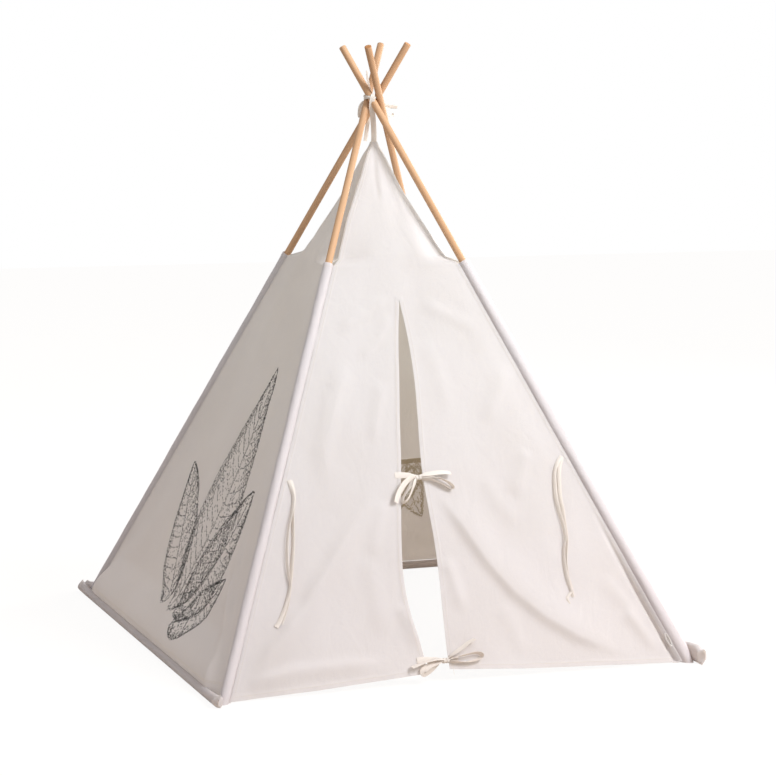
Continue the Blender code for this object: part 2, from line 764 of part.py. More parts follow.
def make_tape(name, line, across, width, pinch_at=None):
    """A flat tape along a line of points, carried along it without twist; it narrows near a knot."""
    last = len(line) - 1
    widths = []
    for i, point in enumerate(line):
        ahead = (line[min(i + 1, last)] - line[max(i - 1, 0)]).normalized()
        across = (across - ahead * across.dot(ahead)).normalized()
        share = 1.0
        if pinch_at:
            share = mixed(KNOT_PINCH, 1.0, ease((point - pinch_at).length / KNOT_SPREAD))
        widths.append(across * width * share)

    def point_at(u, v):
        i = round(v * last)
        return line[i] + widths[i] * (u - 0.5)

    return sheet(name, (1, last), point_at, TAPE_CLOTH, TAPE_COTTON, offset=0.0)


def door_frame(x, z, lift):
    """A frame on the door: across, outwards and up along the cloth."""
    across = Vector((1, 0, 0))
    axes = Matrix((across, -FRONT_NORMAL, FRONT_NORMAL.cross(across))).transposed().to_4x4()
    return Matrix.Translation(door_plane(x, z) + FRONT_NORMAL * lift) @ axes


def make_tied_tape(name, low, high, frame, lines, across, width):
    """A tape tied in a bow: a bevelled knot, with its runs of tape joined on by Boolean unions."""
    knot = place(name, box_mesh(name, low, high), TAPE_COTTON, frame)
    rounding = knot.modifiers.new("rounding", "BEVEL")
    rounding.width = KNOT_BEVEL
    rounding.segments = 2
    for k, line in enumerate(lines):
        run = make_tape(f"run_{name}_{k}", line, across, width, frame.translation)
        TEEPEE.objects.unlink(run)
        CUTTERS.objects.link(run)
        run.hide_render = True
        run.display_type = "WIRE"
        step = knot.modifiers.new(f"run_{k}", "BOOLEAN")
        step.operation = "UNION"
        step.solver = "EXACT"
        step.use_self = True
        step.object = run


def lashing_radius():
    """The least ring that clears all four poles over the tape's width."""
    tilt = POLES["front_left"].tilt
    furthest = 0.0
    for k in range(ROUND * 4):
        angle = math.tau * k / (ROUND * 4)
        shift = math.tan(tilt) * LASHING_WIDTH / 2
        x = SWIRL + POLE_RADIUS * math.cos(angle)
        y = shift + POLE_RADIUS / math.cos(tilt) * math.sin(angle)
        furthest = max(furthest, math.hypot(x, y))
    return furthest + GAP


def make_lashing():
    """A band of tape turned round the crossing: a flat profile with a Screw modifier."""
    inner = lashing_radius() / math.cos(math.pi / ROUND)
    outer = inner + LASHING_CLOTH
    half = LASHING_WIDTH / 2
    profile = ((outer, half), (outer, -half), (inner, -half), (inner, half))
    mesh = bpy.data.meshes.new("lashing_tape")
    count = len(profile)
    mesh.from_pydata([(x, 0, z) for x, z in profile], [(k, (k + 1) % count) for k in range(count)], [])
    band = place("lashing_tape", mesh, TAPE_COTTON, Matrix.Translation((0, 0, CROSSING_HEIGHT)), smooth=False)
    turn = band.modifiers.new("turn", "SCREW")
    turn.angle = math.tau
    turn.steps = turn.render_steps = ROUND
    turn.use_merge_vertices = True
    turn.merge_threshold = GAP / 10


def make_peak_tape():
    """The loop that hangs the cover from the crossing, with its thin tail above the poles."""
    bottom = PEAK_HEIGHT + CLOTH - GAP * 2
    top = CROSSING_HEIGHT + PEAK_TAPE_TAIL

    def point_at(u, v):
        z = mixed(bottom, top, v)
        beyond = ease((z - CROSSING_HEIGHT - LASHING_WIDTH) / (PEAK_TAPE_TAIL / 2))
        width = mixed(PEAK_TAPE_WIDTH, PEAK_TAIL_WIDTH, beyond)
        lean = PEAK_TAIL_LEAN * beyond * (z - CROSSING_HEIGHT) / PEAK_TAPE_TAIL
        return Vector((width * (u - 0.5) - lean, 0, z))

    sheet("peak_tape", (2, 14), point_at, LASHING_CLOTH, TAPE_COTTON, offset=0.0)


def make_tapes():
    up_the_door = FRONT_NORMAL.cross(Vector((1, 0, 0)))
    half_x, half_z, half_lift = KNOT_HALF
    ties = (
        ("upper_tie_left", UPPER_LEFT_TIE, UPPER_KNOT, -half_x, -GAP / 2),
        ("upper_tie_right", UPPER_RIGHT_TIE, UPPER_KNOT, GAP / 2, half_x),
        ("lower_tie_left", LOWER_LEFT_TIE, LOWER_KNOT, -half_x, -GAP / 2),
        ("lower_tie_right", LOWER_RIGHT_TIE, LOWER_KNOT, GAP / 2, half_x),
    )
    for name, runs, knot, near, far in ties:
        lines = [smooth_route(on_door(run), 2) for run in runs]
        frame = door_frame(*knot, KNOT_HEIGHT)
        low, high = (near, -half_lift, -half_z), (far, half_lift, half_z)
        make_tied_tape(name, low, high, frame, lines, up_the_door, BOW_TAPE)
    spread, more = TIE_BACK_PAIR
    for name, route, sign in (("left", TIE_BACK_LEFT, -1), ("right", TIE_BACK_RIGHT, 1)):
        near = smooth_route(beside_seam(sign, route), 1)
        far = smooth_route(beside_seam(sign, route, TIE_BACK_TAPE + spread / 3, more), 1)
        make_tape(f"tie_back_{name}_a", near, Vector((1, 0, 0)), TIE_BACK_TAPE)
        make_tape(f"tie_back_{name}_b", far, Vector((1, 0, 0)), TIE_BACK_TAPE)
    half = Vector(LASHING_KNOT_HALF)
    lines = [smooth_route(run, 2) for run in LASHING_BOW]
    frame = Matrix.Translation(LASHING_KNOT)
    make_tied_tape("lashing_bow", -half, half, frame, lines, Vector((0.5, 0.2, 0.6)), LASHING_BOW_TAPE)


def make_tag():
    """A plain loop of tape sewn to the front panel beside the front right sleeve."""
    half = Vector(TAG) / 2
    lift = CLOTH + GAP + half.y
    middle = front_point(*TAG_PLACE) + FRONT_NORMAL * lift
    axes = Matrix((Vector((1, 0, 0)), -FRONT_NORMAL, FRONT_NORMAL.cross(Vector((1, 0, 0))))).transposed()
    place("tag", box_mesh("tag", -half, half), PAPER, Matrix.Translation(middle) @ axes.to_4x4(), smooth=False)


def build():
    for pole in POLES.values():
        make_pole(pole)
        make_ferrule(pole)
        make_sleeve(pole)
    for face in ("right", "back", "left"):
        make_lower_panel(face)
        make_hem(face)
    make_front_panel()
    make_flap("door_flap_left", -1)
    make_flap("door_flap_right", 1)
    for face in FACES:
        make_top(face)
    make_lashing()
    make_peak_tape()
    make_tapes()
    make_tag()


build()
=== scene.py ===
import math

import bmesh
import bpy
import numpy as np
from mathutils import Matrix, Vector


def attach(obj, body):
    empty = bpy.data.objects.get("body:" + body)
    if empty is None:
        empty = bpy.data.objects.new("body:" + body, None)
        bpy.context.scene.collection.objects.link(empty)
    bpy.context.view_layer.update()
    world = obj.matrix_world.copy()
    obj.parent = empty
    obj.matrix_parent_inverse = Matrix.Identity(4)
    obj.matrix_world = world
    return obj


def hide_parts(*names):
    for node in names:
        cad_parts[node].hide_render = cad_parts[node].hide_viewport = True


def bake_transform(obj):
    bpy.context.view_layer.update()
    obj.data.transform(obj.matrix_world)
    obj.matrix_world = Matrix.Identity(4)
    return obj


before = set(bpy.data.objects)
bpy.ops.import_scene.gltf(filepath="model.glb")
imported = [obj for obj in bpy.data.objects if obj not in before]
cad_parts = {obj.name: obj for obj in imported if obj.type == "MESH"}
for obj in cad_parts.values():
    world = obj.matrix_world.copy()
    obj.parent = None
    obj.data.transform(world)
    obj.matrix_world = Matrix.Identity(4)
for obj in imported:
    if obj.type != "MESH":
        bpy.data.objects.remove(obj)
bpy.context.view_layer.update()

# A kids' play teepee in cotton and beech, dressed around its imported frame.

# Driving dimensions, in metres: the same as the solids have

WIDTH, DEPTH, CROSSING_HEIGHT = 1.20, 1.28, 1.3824
POLE_LENGTH, POLE_RADIUS, SWIRL = 1.79, 0.009, 0.0165
LOWER_SECTION, POLE_START = 0.90, 0.0088
SLEEVE_LENGTH, SLEEVE_BORE, SLEEVE_OUTER = 1.152, 0.0106, 0.0122
SEAM_REACH, SEAM_LAP, CLOTH, GAP = 0.022, 0.0088, 0.0016, 0.0003
FRONT_HEM, DOOR_TOP, DOOR_SHIFT, DOOR_HALF = 0.010, 0.883, -0.016, 0.345
TOP_SEAM, PEAK_HEIGHT = 0.960, 1.270
CORNER_TURN, CORNER_EASE = (0.9655, 0.9850), 0.13
HEM_RADIUS, HEM_WALL, HEM_OVERHANG, HEM_LIFT, HEM_FLARE = 0.0115, 0.0016, 0.040, 0.0005, 0.110
HEM_ROD, ROD_END = 0.016, 0.012
LASHING_WIDTH, PEAK_TAPE_WIDTH, PEAK_TAIL_WIDTH = 0.012, 0.0135, 0.006

# Cloth and thread as they are sewn

FABRIC = 0.0009
TURNED_EDGE = 0.0006
TURNED_WIDTH = 0.0105
STITCH_PITCH, STITCH_LENGTH, THREAD = 0.0042, 0.0030, 0.0007
FRONT_CELL, SIDE_CELL = 0.0050, 0.0075

# The slit's two edges as shares of half the width, by share of the door's height
SLIT_SHARES = (
    (0.000, -0.150, -0.052), (0.060, -0.155, -0.053), (0.170, -0.184, -0.047), (0.270, -0.190, -0.039),
    (0.360, -0.176, -0.037), (0.450, -0.156, -0.040), (0.540, -0.133, -0.041), (0.670, -0.107, -0.027),
    (0.780, -0.082, -0.014), (0.890, -0.058, -0.014), (1.000, -0.0267, -0.0267),
)
# The corner seam above the sleeves, as a share of the foot's reach, by share of the height left
CORNER_SHARES = {
    "front_left": (
        (0.000, 0.2650), (0.040, 0.2600), (0.130, 0.2430), (0.226, 0.2226), (0.384, 0.1900), (0.500, 0.1570),
        (0.620, 0.1220), (0.740, 0.0864), (0.860, 0.0560), (0.930, 0.0340), (0.970, 0.0150), (1.000, 0.0096)),
    "": (
        (0.000, 0.2600), (0.030, 0.2460), (0.100, 0.2240), (0.180, 0.2010), (0.270, 0.1790), (0.360, 0.1550),
        (0.460, 0.1290), (0.550, 0.1060), (0.660, 0.0800), (0.735, 0.0650), (0.815, 0.0485), (0.900, 0.0310),
        (0.955, 0.0170), (1.000, 0.0096)),
}
# The front hem's height along the ground
FRONT_BOTTOM = (
    (-0.60, 0.0015), (-0.51, 0.0050), (-0.36, 0.0105), (-0.26, 0.0170), (-0.116, 0.0247), (-0.075, 0.0270),
    (-0.045, 0.0340), (-0.010, 0.0295), (0.150, 0.0195), (0.268, 0.0142), (0.434, 0.0074), (0.60, 0.0020),
)

CORNERS = {"front_left": (-1, -1), "front_right": (1, -1), "rear_right": (1, 1), "rear_left": (-1, 1)}
FACES = {
    "front": ("front_left", "front_right"),
    "right": ("front_right", "rear_right"),
    "back": ("rear_right", "rear_left"),
    "left": ("rear_left", "front_left"),
}
UP = np.array((0.0, 0.0, 1.0))
CREST = np.array((0.0, 0.0, PEAK_HEIGHT))
TURN = math.tau

scene = bpy.context.scene
draw = np.random.default_rng(11)


# Small helpers

def unit(v):
    v = np.asarray(v, float)
    return v / np.linalg.norm(v, axis=-1, keepdims=True)


def smooth(t):
    t = np.clip(t, 0.0, 1.0)
    return t * t * (3 - 2 * t)


def triples(a, b, c=0.0):
    """Three numbers for each place, of which any may be the same everywhere."""
    return np.stack(np.broadcast_arrays(a, b, c), -1)


def round_places(count):
    return np.arange(count) * TURN / count


def route_of(*tenths):
    """The points of a route that is given in tenths of a millimetre."""
    return np.reshape(tenths, (-1, 3)) / 10000


outer = np.multiply.outer


def dense_table(table, steps=40):
    """A table's rows joined by a smooth curve, as close points for np.interp."""
    rows = np.array(table, float)
    slopes = np.gradient(rows[:, 1:], rows[:, 0], axis=0)
    xs, found = [], []
    for i in range(len(rows) - 1):
        span = rows[i + 1, 0] - rows[i, 0]
        for t in np.arange(steps) / steps:
            xs.append(rows[i, 0] + t * span)
            found.append(
                rows[i, 1:] * (1 + 2 * t) * (1 - t) ** 2 + slopes[i] * span * t * (1 - t) ** 2
                + rows[i + 1, 1:] * t * t * (3 - 2 * t) + slopes[i + 1] * span * t * t * (t - 1)
            )
    return np.array(xs + [rows[-1, 0]]), np.array(found + [rows[-1, 1:]]).T


def smooth_route(points, steps):
    """Points on a smooth curve through a route, with this many steps between two of its points."""
    route = np.array(points, float)
    ends = np.vstack((2 * route[0] - route[1], route, 2 * route[-1] - route[-2]))
    found = []
    for i in range(len(route) - 1):
        a, b, c, d = ends[i:i + 4]
        for t in np.arange(steps) / steps:
            found.append(b + (c - a) * t / 2 + (2 * a - 5 * b + 4 * c - d) * t ** 2 / 2
                         + (3 * b - a - 3 * c + d) * t ** 3 / 2)
    return np.array(found + [route[-1]])


def shown(name, data):
    obj = bpy.data.objects.new(name, data)
    scene.collection.objects.link(obj)
    return obj


def piece(name, mesh, *materials):
    for material in materials:
        mesh.materials.append(material)
    return shown(name, mesh)


def settle(obj, place, node=None):
    """Puts a piece on its body or its region of the cover, and hides the node that it stands for."""
    if isinstance(place, str):
        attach(obj, place)
    else:
        place.attach(obj)
    if node:
        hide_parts(node)
    return obj


def mesh_of(name, points, faces, smooth_faces=True, **attributes):
    """A mesh from points and faces, with point attributes of one or three numbers."""
    mesh = bpy.data.meshes.new(name)
    mesh.from_pydata(np.asarray(points, float).tolist(), [], [list(map(int, f)) for f in faces])
    for key, values in attributes.items():
        values = np.asarray(values, np.float32)
        kind = "FLOAT_VECTOR" if values.ndim == 2 else "FLOAT"
        mesh.attributes.new(key, kind, "POINT").data.foreach_set(
            "vector" if values.ndim == 2 else "value", values.ravel())
    if smooth_faces:
        mesh.shade_smooth()
    return mesh


def loft(name, rings, closed=False, sharp=40, **attributes):
    """Rings of points joined into a skin: capped at both ends, or closed on itself."""
    rings = np.asarray(rings, float)
    count, around = rings.shape[:2]
    faces = []
    for i in range(count if closed else count - 1):
        for j in range(around):
            k, m = (j + 1) % around, (i + 1) % count
            faces.append((i * around + j, i * around + k, m * around + k, m * around + j))
    if not closed:
        faces.append(range(around - 1, -1, -1))
        faces.append(range((count - 1) * around, count * around))
    flat = {key: np.asarray(v).reshape(count * around, -1) for key, v in attributes.items()}
    mesh = mesh_of(name, rings.reshape(-1, 3), faces, **flat)
    mesh.set_sharp_from_angle(angle=math.radians(sharp))
    return mesh


# The camera, from the photograph's own perspective

# How wide the photograph is and how far its eye stands from it, in pixels
PHOTO_WIDTH, PHOTO_FOCUS = 776, 2425.914


def make_camera():
    data = bpy.data.cameras.new("camera")
    data.sensor_width = 36
    data.lens = data.sensor_width * PHOTO_FOCUS / PHOTO_WIDTH
    data.clip_end = 60
    camera = shown("camera", data)
    right, up = Vector((0.93706, -0.34914, 0.00369)), Vector((0.04127, 0.12126, 0.99176))
    forward = Vector((0.34671, 0.92919, -0.12804))
    axes = Matrix((right, up, -forward)).transposed().to_4x4()
    camera.matrix_world = Matrix.Translation((-2.154945, -5.886956, 1.441790)) @ axes
    scene.camera = camera


make_camera()
scene.view_settings.view_transform = "Standard"


# Materials: a small maker of nodes, and values that are written as expressions

class Value:
    def __init__(self, finish, socket):
        self.finish, self.socket = finish, socket

    def maths(self, operation, *others):
        return self.finish.node("Math", dict(enumerate((self, *others))), operation=operation)

    def __add__(self, other): return self.maths("ADD", other)
    def __sub__(self, other): return self.maths("SUBTRACT", other)
    def __mul__(self, other): return self.maths("MULTIPLY", other)
    def __pow__(self, other): return self.maths("POWER", other)
    def sine(self): return self.maths("SINE")
    def stepped(self, low, high):
        return self.finish.node("MapRange", {0: self, 1: low, 2: high}, interpolation_type="SMOOTHSTEP")


def add_node(tree, kind, values=None, **settings):
    """A new node from its settings and its sockets' values, each a constant or another node's socket."""
    made = tree.nodes.new(kind)
    for key, value in settings.items():
        setattr(made, key, value)
    for key, value in (values or {}).items():
        value = getattr(value, "socket", value)
        if isinstance(value, bpy.types.NodeSocket):
            tree.links.new(value, made.inputs[key])
        else:
            made.inputs[key].default_value = value
    return made


class Finish:
    """A material in the making, or the world."""

    def __init__(self, name, kept_in=bpy.data.materials):
        self.made = kept_in.new(name)
        self.made.use_nodes = True
        self.tree = self.made.node_tree
        self.tree.nodes.clear()

    def node(self, kind, values=None, out=0, **settings):
        made = add_node(self.tree, "ShaderNode" + kind, values, **settings)
        return Value(self, made.outputs[out]) if len(made.outputs) else made

    def attribute(self, name):
        return self.node("Attribute", out="Vector", attribute_name=name)

    def scaled(self, vector, *scale):
        return self.node("VectorMath", {0: vector, 1: scale}, operation="MULTIPLY")

    def place(self):
        return self.node("TexCoord", out="Object")

    def split(self, vector):
        parts = self.node("SeparateXYZ", {0: vector})
        return [Value(self, parts.socket.node.outputs[k]) for k in range(3)]

    def noise(self, vector, scale, detail=2.0, roughness=0.5, distortion=0.0):
        return self.node("TexNoise", {"Vector": vector, "Scale": scale, "Detail": detail,
                                      "Roughness": roughness, "Distortion": distortion})

    def mix(self, share, a, b):
        return self.node("Mix", {0: share, 6: a, 7: b}, out=2, data_type="RGBA")

    def bump(self, height, distance, strength, under=None):
        values = {"Height": height, "Distance": distance, "Strength": strength}
        if under:
            values["Normal"] = under
        return self.node("Bump", values)

    def done(self, surface, output="OutputMaterial"):
        self.node(output, {"Surface": surface})
        return self.made

    def plain(self, **values):
        """The finish with one principled shader; an underscore in a socket's name is a space."""
        return self.done(self.node("BsdfPrincipled", {key.replace("_", " "): v for key, v in values.items()}))


def linear(red, green, blue):
    """A colour of the screen, 0 to 255, as the shaders take it."""
    return tuple(c / 12.92 if c <= 0.04045 else ((c + 0.055) / 1.055) ** 2.4
                 for c in (red / 255, green / 255, blue / 255)) + (1.0,)


# Painted shade: the cloth's colour is drawn a little darker and warmer towards the floor, below this height
FLOOR_SHADE_TINT, FLOOR_SHADE_HEIGHT = (0.965, 0.940, 0.935), 0.85


def woven(name, colour, shadow, through, thread=0.0011, crumple=1.0, glow=0.56):
    """Plain-woven cotton: threads, slubs, soft crumples, some light let through, and painted shade towards the floor.
    """
    f = Finish(name)
    flat, place = f.attribute("cloth"), f.place()
    along, across, _ = f.split(flat)
    turns = TURN / thread
    weave = (along * turns).sine() * (across * turns).sine()
    slubs = f.noise(f.scaled(flat, 55, 900, 1), 1.0, 2.0) + f.noise(f.scaled(flat, 900, 55, 1), 1.0, 2.0)
    patches = f.noise(place, 5.0, 3.0, 0.55)
    soft = f.noise(f.scaled(flat, 1, 0.55, 1), 17.0, 4.0, 0.52, 0.9)
    fine = f.noise(place, 70.0, 3.0, 0.6, 0.4)
    tone = f.mix((slubs - 0.72).stepped(0.0, 0.6) * 0.35, colour, shadow)
    tone = f.mix(patches.stepped(0.35, 0.70) * 0.30, tone, shadow)
    light = f.mix(slubs * 0.4, through, tone)
    # Painted shade: the cloth's colour and the light it lets through both grow darker and warmer towards the floor
    floor_shade = (f.split(place)[2] * -1.0 + FLOOR_SHADE_HEIGHT).stepped(0.0, FLOOR_SHADE_HEIGHT)
    tone = f.mix(floor_shade, tone, f.scaled(tone, *FLOOR_SHADE_TINT))
    light = f.mix(floor_shade, light, f.scaled(light, *FLOOR_SHADE_TINT))
    height = soft * 0.85 + fine * 0.15
    normal = f.bump(height, 0.0042 * crumple, 0.55)
    normal = f.bump(weave * 0.5 + slubs, 0.00022, 0.45, normal)
    body = f.node("BsdfPrincipled", {
        "Base Color": tone, "Roughness": patches * 0.12 + 0.80, "Sheen Weight": 0.10, "Sheen Roughness": 0.5,
        "Specular IOR Level": 0.2, "Normal": normal})
    lit = f.node("BsdfTranslucent", {"Color": light, "Normal": normal})
    return f.done(f.node("MixShader", {0: glow, 1: body, 2: lit}))


CANVAS = woven("cotton_canvas", linear(240, 241, 249), linear(232, 231, 236), linear(246, 238, 216))
SLEEVE_CLOTH = woven("sleeve_canvas", linear(239, 237, 241), linear(229, 225, 229), linear(238, 228, 216),
                     crumple=0.55, glow=0.40)
TAPE = woven("cotton_tape", linear(248, 244, 240), linear(237, 231, 223), linear(240, 230, 214),
             thread=0.0009, crumple=0.35, glow=0.30)
LABEL = woven("label_tape", linear(250, 249, 247), linear(240, 238, 236), linear(240, 232, 220),
              thread=0.0006, crumple=0.2, glow=0.15)


def thread_finish(f):
    twist = f.noise(f.place(), 1400.0, 1.0)
    return f.plain(Base_Color=f.mix(twist, linear(238, 232, 222), linear(224, 215, 201)), Roughness=twist * 0.2 + 0.6,
                   Normal=f.bump(twist, 0.0002, 0.5))


def ink_finish(f, dark, worn):
    wear = f.noise(f.attribute("cloth"), 900.0, 2.0)
    return f.plain(Base_Color=f.mix(wear.stepped(0.45, 0.75), dark, worn), Roughness=wear * 0.15 + 0.75,
                   Normal=f.bump(wear, 0.0002, 0.4))


def beech_finish(f, light, dark, end=False):
    """Beech: long pale grain with short dark flecks, under a thin satin coat."""
    grain = f.attribute("grain")
    wobble = f.noise(f.scaled(grain, 14, 14, 1.6), 1.0, 2.0)
    bands = f.noise(f.scaled(grain, 95, 95, 2.4), 1.0, 4.0, 0.6, 0.8)
    fleck = f.noise(f.scaled(grain, 520, 520, 34), 1.0, 2.0)
    pores = f.noise(f.scaled(grain, 1500, 1500, 60), 1.0, 1.0)
    tone = f.mix(bands.stepped(0.30, 0.72), light, dark)
    tone = f.mix(fleck.stepped(0.60, 0.75) * 0.45, tone, linear(172, 124, 84))
    tone = f.mix(wobble.stepped(0.35, 0.8) * 0.30, tone, linear(222, 182, 142))
    if end:
        x, y, _ = f.split(grain)
        rings = ((x + 0.011) ** 2.0 + (y - 0.004) ** 2.0) ** 0.5
        ring = (rings * (TURN / 0.0021) + bands * 2.0).sine()
        tone = f.mix(ring.stepped(-0.4, 0.9) * 0.6, tone, linear(150, 100, 60))
    return f.plain(Base_Color=tone, Roughness=bands * 0.15 + 0.50, Specular_IOR_Level=0.16, Coat_Weight=0.03,
                   Coat_Roughness=0.4, Normal=f.bump(bands * 0.3 + pores, 0.0002, 0.4))


def metal_finish(f):
    lines = f.noise(f.scaled(f.place(), 40, 40, 1200), 1.0, 2.0)
    return f.plain(Base_Color=f.mix(lines, linear(205, 206, 210), linear(176, 177, 182)), Metallic=1.0,
                   Roughness=lines * 0.2 + 0.25, Normal=f.bump(lines, 0.0001, 0.3))


THREAD_FINISH = thread_finish(Finish("cotton_thread"))
INK = ink_finish(Finish("print_ink"), linear(34, 31, 30), linear(74, 69, 65))
INK_SOAKED = ink_finish(Finish("print_ink_inside"), linear(196, 184, 160), linear(212, 200, 176))
BEECH = beech_finish(Finish("beech"), linear(198, 161, 128), linear(178, 139, 105))
BEECH_END = beech_finish(Finish("beech_end_grain"), linear(206, 156, 108), linear(176, 122, 76), end=True)
ALUMINIUM = metal_finish(Finish("drawn_aluminium"))


# The frame's geometry: every pole runs straight from its foot past the axis, on the axis's left

class Pole:
    def __init__(self, name):
        across, away = CORNERS[name]
        self.name, self.body = name, "pole_" + name
        self.foot = np.array((across * WIDTH / 2, away * DEPTH / 2, 0.0))
        reach = np.linalg.norm(self.foot)
        turn = math.asin(SWIRL / reach)
        inward = -self.foot / reach
        heading = np.array((
            inward[0] * math.cos(turn) - inward[1] * math.sin(turn),
            inward[0] * math.sin(turn) + inward[1] * math.cos(turn), 0.0))
        self.along = unit(heading * reach * math.cos(turn) + UP * CROSSING_HEIGHT)
        self.side = np.cross(UP, heading)
        self.out = np.cross(self.along, self.side)

    def place(self, side, out, along):
        return self.foot + outer(side, self.side) + outer(out, self.out) + outer(along, self.along)

    def angle_of(self, way):
        """Where a direction lies round the pole."""
        return math.atan2(way @ self.out, way @ self.side)

    def seam_direction(self, other):
        towards = unit(other.foot - self.foot)
        return unit(towards - self.along * (towards @ self.along))

    def seam(self, other, z, lap=0.0):
        start = self.foot + self.seam_direction(other) * (SEAM_REACH + GAP - lap)
        return start + outer((z - start[2]) / self.along[2], self.along)

    def foot_reach(self, axis):
        """How far the sleeve's level cut reaches from the foot along a level axis."""
        lean = unit(self.along * (1, 1, 0))
        return math.hypot(SLEEVE_OUTER / self.along[2] * (lean @ axis), SLEEVE_OUTER * (self.side @ axis))


POLES = {name: Pole(name) for name in CORNERS}
CORNER_AT = {name: dense_table(CORNER_SHARES.get(name, CORNER_SHARES[""])) for name in CORNERS}
SLIT_AT = dense_table(SLIT_SHARES)


def peak_share(z):
    return (z - TOP_SEAM) / (PEAK_HEIGHT - TOP_SEAM)


def hinge_x(side, z):
    share = np.minimum(1.0, (z - FRONT_HEM) / (DOOR_TOP - FRONT_HEM))
    return side * DOOR_HALF + (DOOR_SHIFT - side * DOOR_HALF) * share


def slit_x(side, z):
    share = np.clip((z - FRONT_HEM) / (DOOR_TOP - FRONT_HEM), 0, 1)
    return np.interp(share, SLIT_AT[0], SLIT_AT[1][0 if side < 0 else 1]) * WIDTH / 2


def middle_x(z):
    return DOOR_SHIFT * (1 - np.clip(peak_share(z), 0, 1))


def door_plane(x, z):
    x, z = np.broadcast_arrays(x, z)
    return np.stack((x, -DEPTH / 2 * (1 - z / CROSSING_HEIGHT), z), -1).astype(float)


# Folds: soft ridges along routes. Each has its height, how wide its two flanks are (left of its
# heading first), the half of the face that it keeps to or 0, and its route's x and z, all in mm.

FOLDS = {
    "front": (
        (12.5, 50, 17, 1, -5, 455, 32, 392, 67, 330, 112, 258, 164, 194, 238, 130, 310, 84, 385, 52, 470, 30),
        (11.5, 20, 34, -1, -570, 15, -435, 128, -330, 240, -235, 345, -130, 455),
        (7.5, 14, 22, -1, -560, 30, -420, 55, -290, 60, -170, 56),
        (7, 22, 30, -1, -175, 750, -228, 640, -268, 540, -290, 440),
        (4.5, 16, 20, -1, -92, 700, -120, 620, -145, 540),
        (4.5, 15, 18, -1, -40, 892, -120, 850, -200, 806),
        (3.5, 13, 16, -1, -45, 852, -85, 790, -150, 740),
        (3.5, 18, 18, 1, 30, 880, 110, 840, 190, 800),
        (3.5, 20, 24, 1, 30, 800, 60, 690, 72, 590),
        (5.5, 18, 26, 1, 255, 725, 208, 650, 158, 575),
        (5, 18, 22, 1, 262, 520, 236, 465, 205, 400),
        (4, 22, 22, 1, 130, 470, 160, 400, 215, 330),
        (6, 16, 18, 1, 445, 135, 490, 82, 530, 30),
        (4, 18, 22, 1, 400, 215, 455, 150, 520, 85),
        (6, 16, 18, 1, 0, 285, 13, 220, 26, 145),
        (3.5, 22, 22, 1, 120, 170, 150, 105, 165, 40),
        (5.5, 16, 18, -1, -135, 190, -115, 130, -98, 75),
        (4, 24, 24, -1, -200, 300, -190, 210, -185, 110),
        (4, 18, 20, -1, -130, 420, -165, 350, -190, 280),
        (-4.5, 8, 8, 0, -4, 1246, -14, 1190, -22, 1110),
        (-2.5, 9, 11, 0, 10, 1235, 22, 1170, 36, 1080),
    ),
    "left": (
        (11, 18, 26, 1, 400, 250, 500, 150, 575, 50),
        (7.5, 18, 24, 1, 340, 330, 450, 190, 530, 60),
        (6, 40, 50, -1, -560, 60, -380, 200, -240, 420),
        (5, 50, 60, 0, 20, 160, -60, 320, -50, 560),
        (4.5, 35, 45, 1, 170, 700, 215, 520, 290, 350),
    ),
    "right": (
        (7, 30, 40, -1, -580, 60, -420, 160, -280, 340, -190, 560),
        (7, 40, 30, 1, 580, 60, 430, 170, 300, 330),
        (5.5, 50, 50, 0, 50, 180, 10, 400, 30, 650),
    ),
    "back": (
        (7, 30, 40, -1, -540, 60, -400, 170, -280, 330),
        (7.5, 40, 30, 1, 540, 60, 380, 200, 220, 430),
        (5.5, 50, 50, 0, -60, 150, -20, 380, -50, 620),
    ),
}
# Places where the cloth lies calm, because something is tied or sewn over it: x, z, reach in mm
CALM = {"front": (
    (-42, 463, 50), (-42, 50, 45), (-85, 440, 35), (10, 458, 40), (-95, 45, 35), (0, 65, 35), (-360, 440, 35),
    (-370, 370, 35), (-380, 300, 35), (-400, 220, 35), (330, 450, 35), (318, 380, 35), (312, 300, 35),
    (310, 210, 35), (548, 54, 25))}
WAVES = {
    name: [(draw.normal(0, kx), draw.normal(0, kz), draw.uniform(0, TURN), draw.uniform(least, most))
           for kx, kz, least, most, count in ((9.0, 4.0, 0.3, 1.0, 14), (34.0, 15.0, 0.05, 0.22, 18))
           for _ in range(count)]
    for name in FACES
}
WAVE_HEIGHT = 0.0010
# The front's dip beside the right sleeve: how deep, how far in, how wide, from what height down, and how
# far down it takes to be there in full
TUCK = (0.0155, 0.0145, 0.0070, 0.3800, 0.24)


def tuck_share(z):
    return smooth((TUCK[3] - z) / TUCK[4])


def ridge(x, z, height, left, right, half, *route):
    """How high one fold stands at x, z."""
    route = np.reshape(route, (-1, 2)) / 1000
    lengths = [math.dist(a, b) for a, b in zip(route, route[1:])]
    whole, before = sum(lengths), 0.0
    nearest = np.full(np.shape(x), np.inf)
    side, share = np.zeros(np.shape(x)), np.zeros(np.shape(x))
    for (x0, z0), (x1, z1), length in zip(route, route[1:], lengths):
        dx, dz = (x1 - x0) / length, (z1 - z0) / length
        t = np.clip((x - x0) * dx + (z - z0) * dz, 0, length)
        away = np.hypot(x - x0 - dx * t, z - z0 - dz * t)
        closer = away < nearest
        nearest = np.where(closer, away, nearest)
        side = np.where(closer, dx * (z - z0) - dz * (x - x0), side)
        share = np.where(closer, (before + t) / whole, share)
        before += length
    width = np.where(side > 0, left / 1000, right / 1000)
    fade = smooth(share / 0.22) * smooth((1 - share) / 0.30)
    keep = 1.0 if half == 0 else smooth(half * (x - middle_x(z)) / 0.01 + 0.5)
    return height / 1000 * fade * keep * np.exp(-(nearest / width) ** 2)


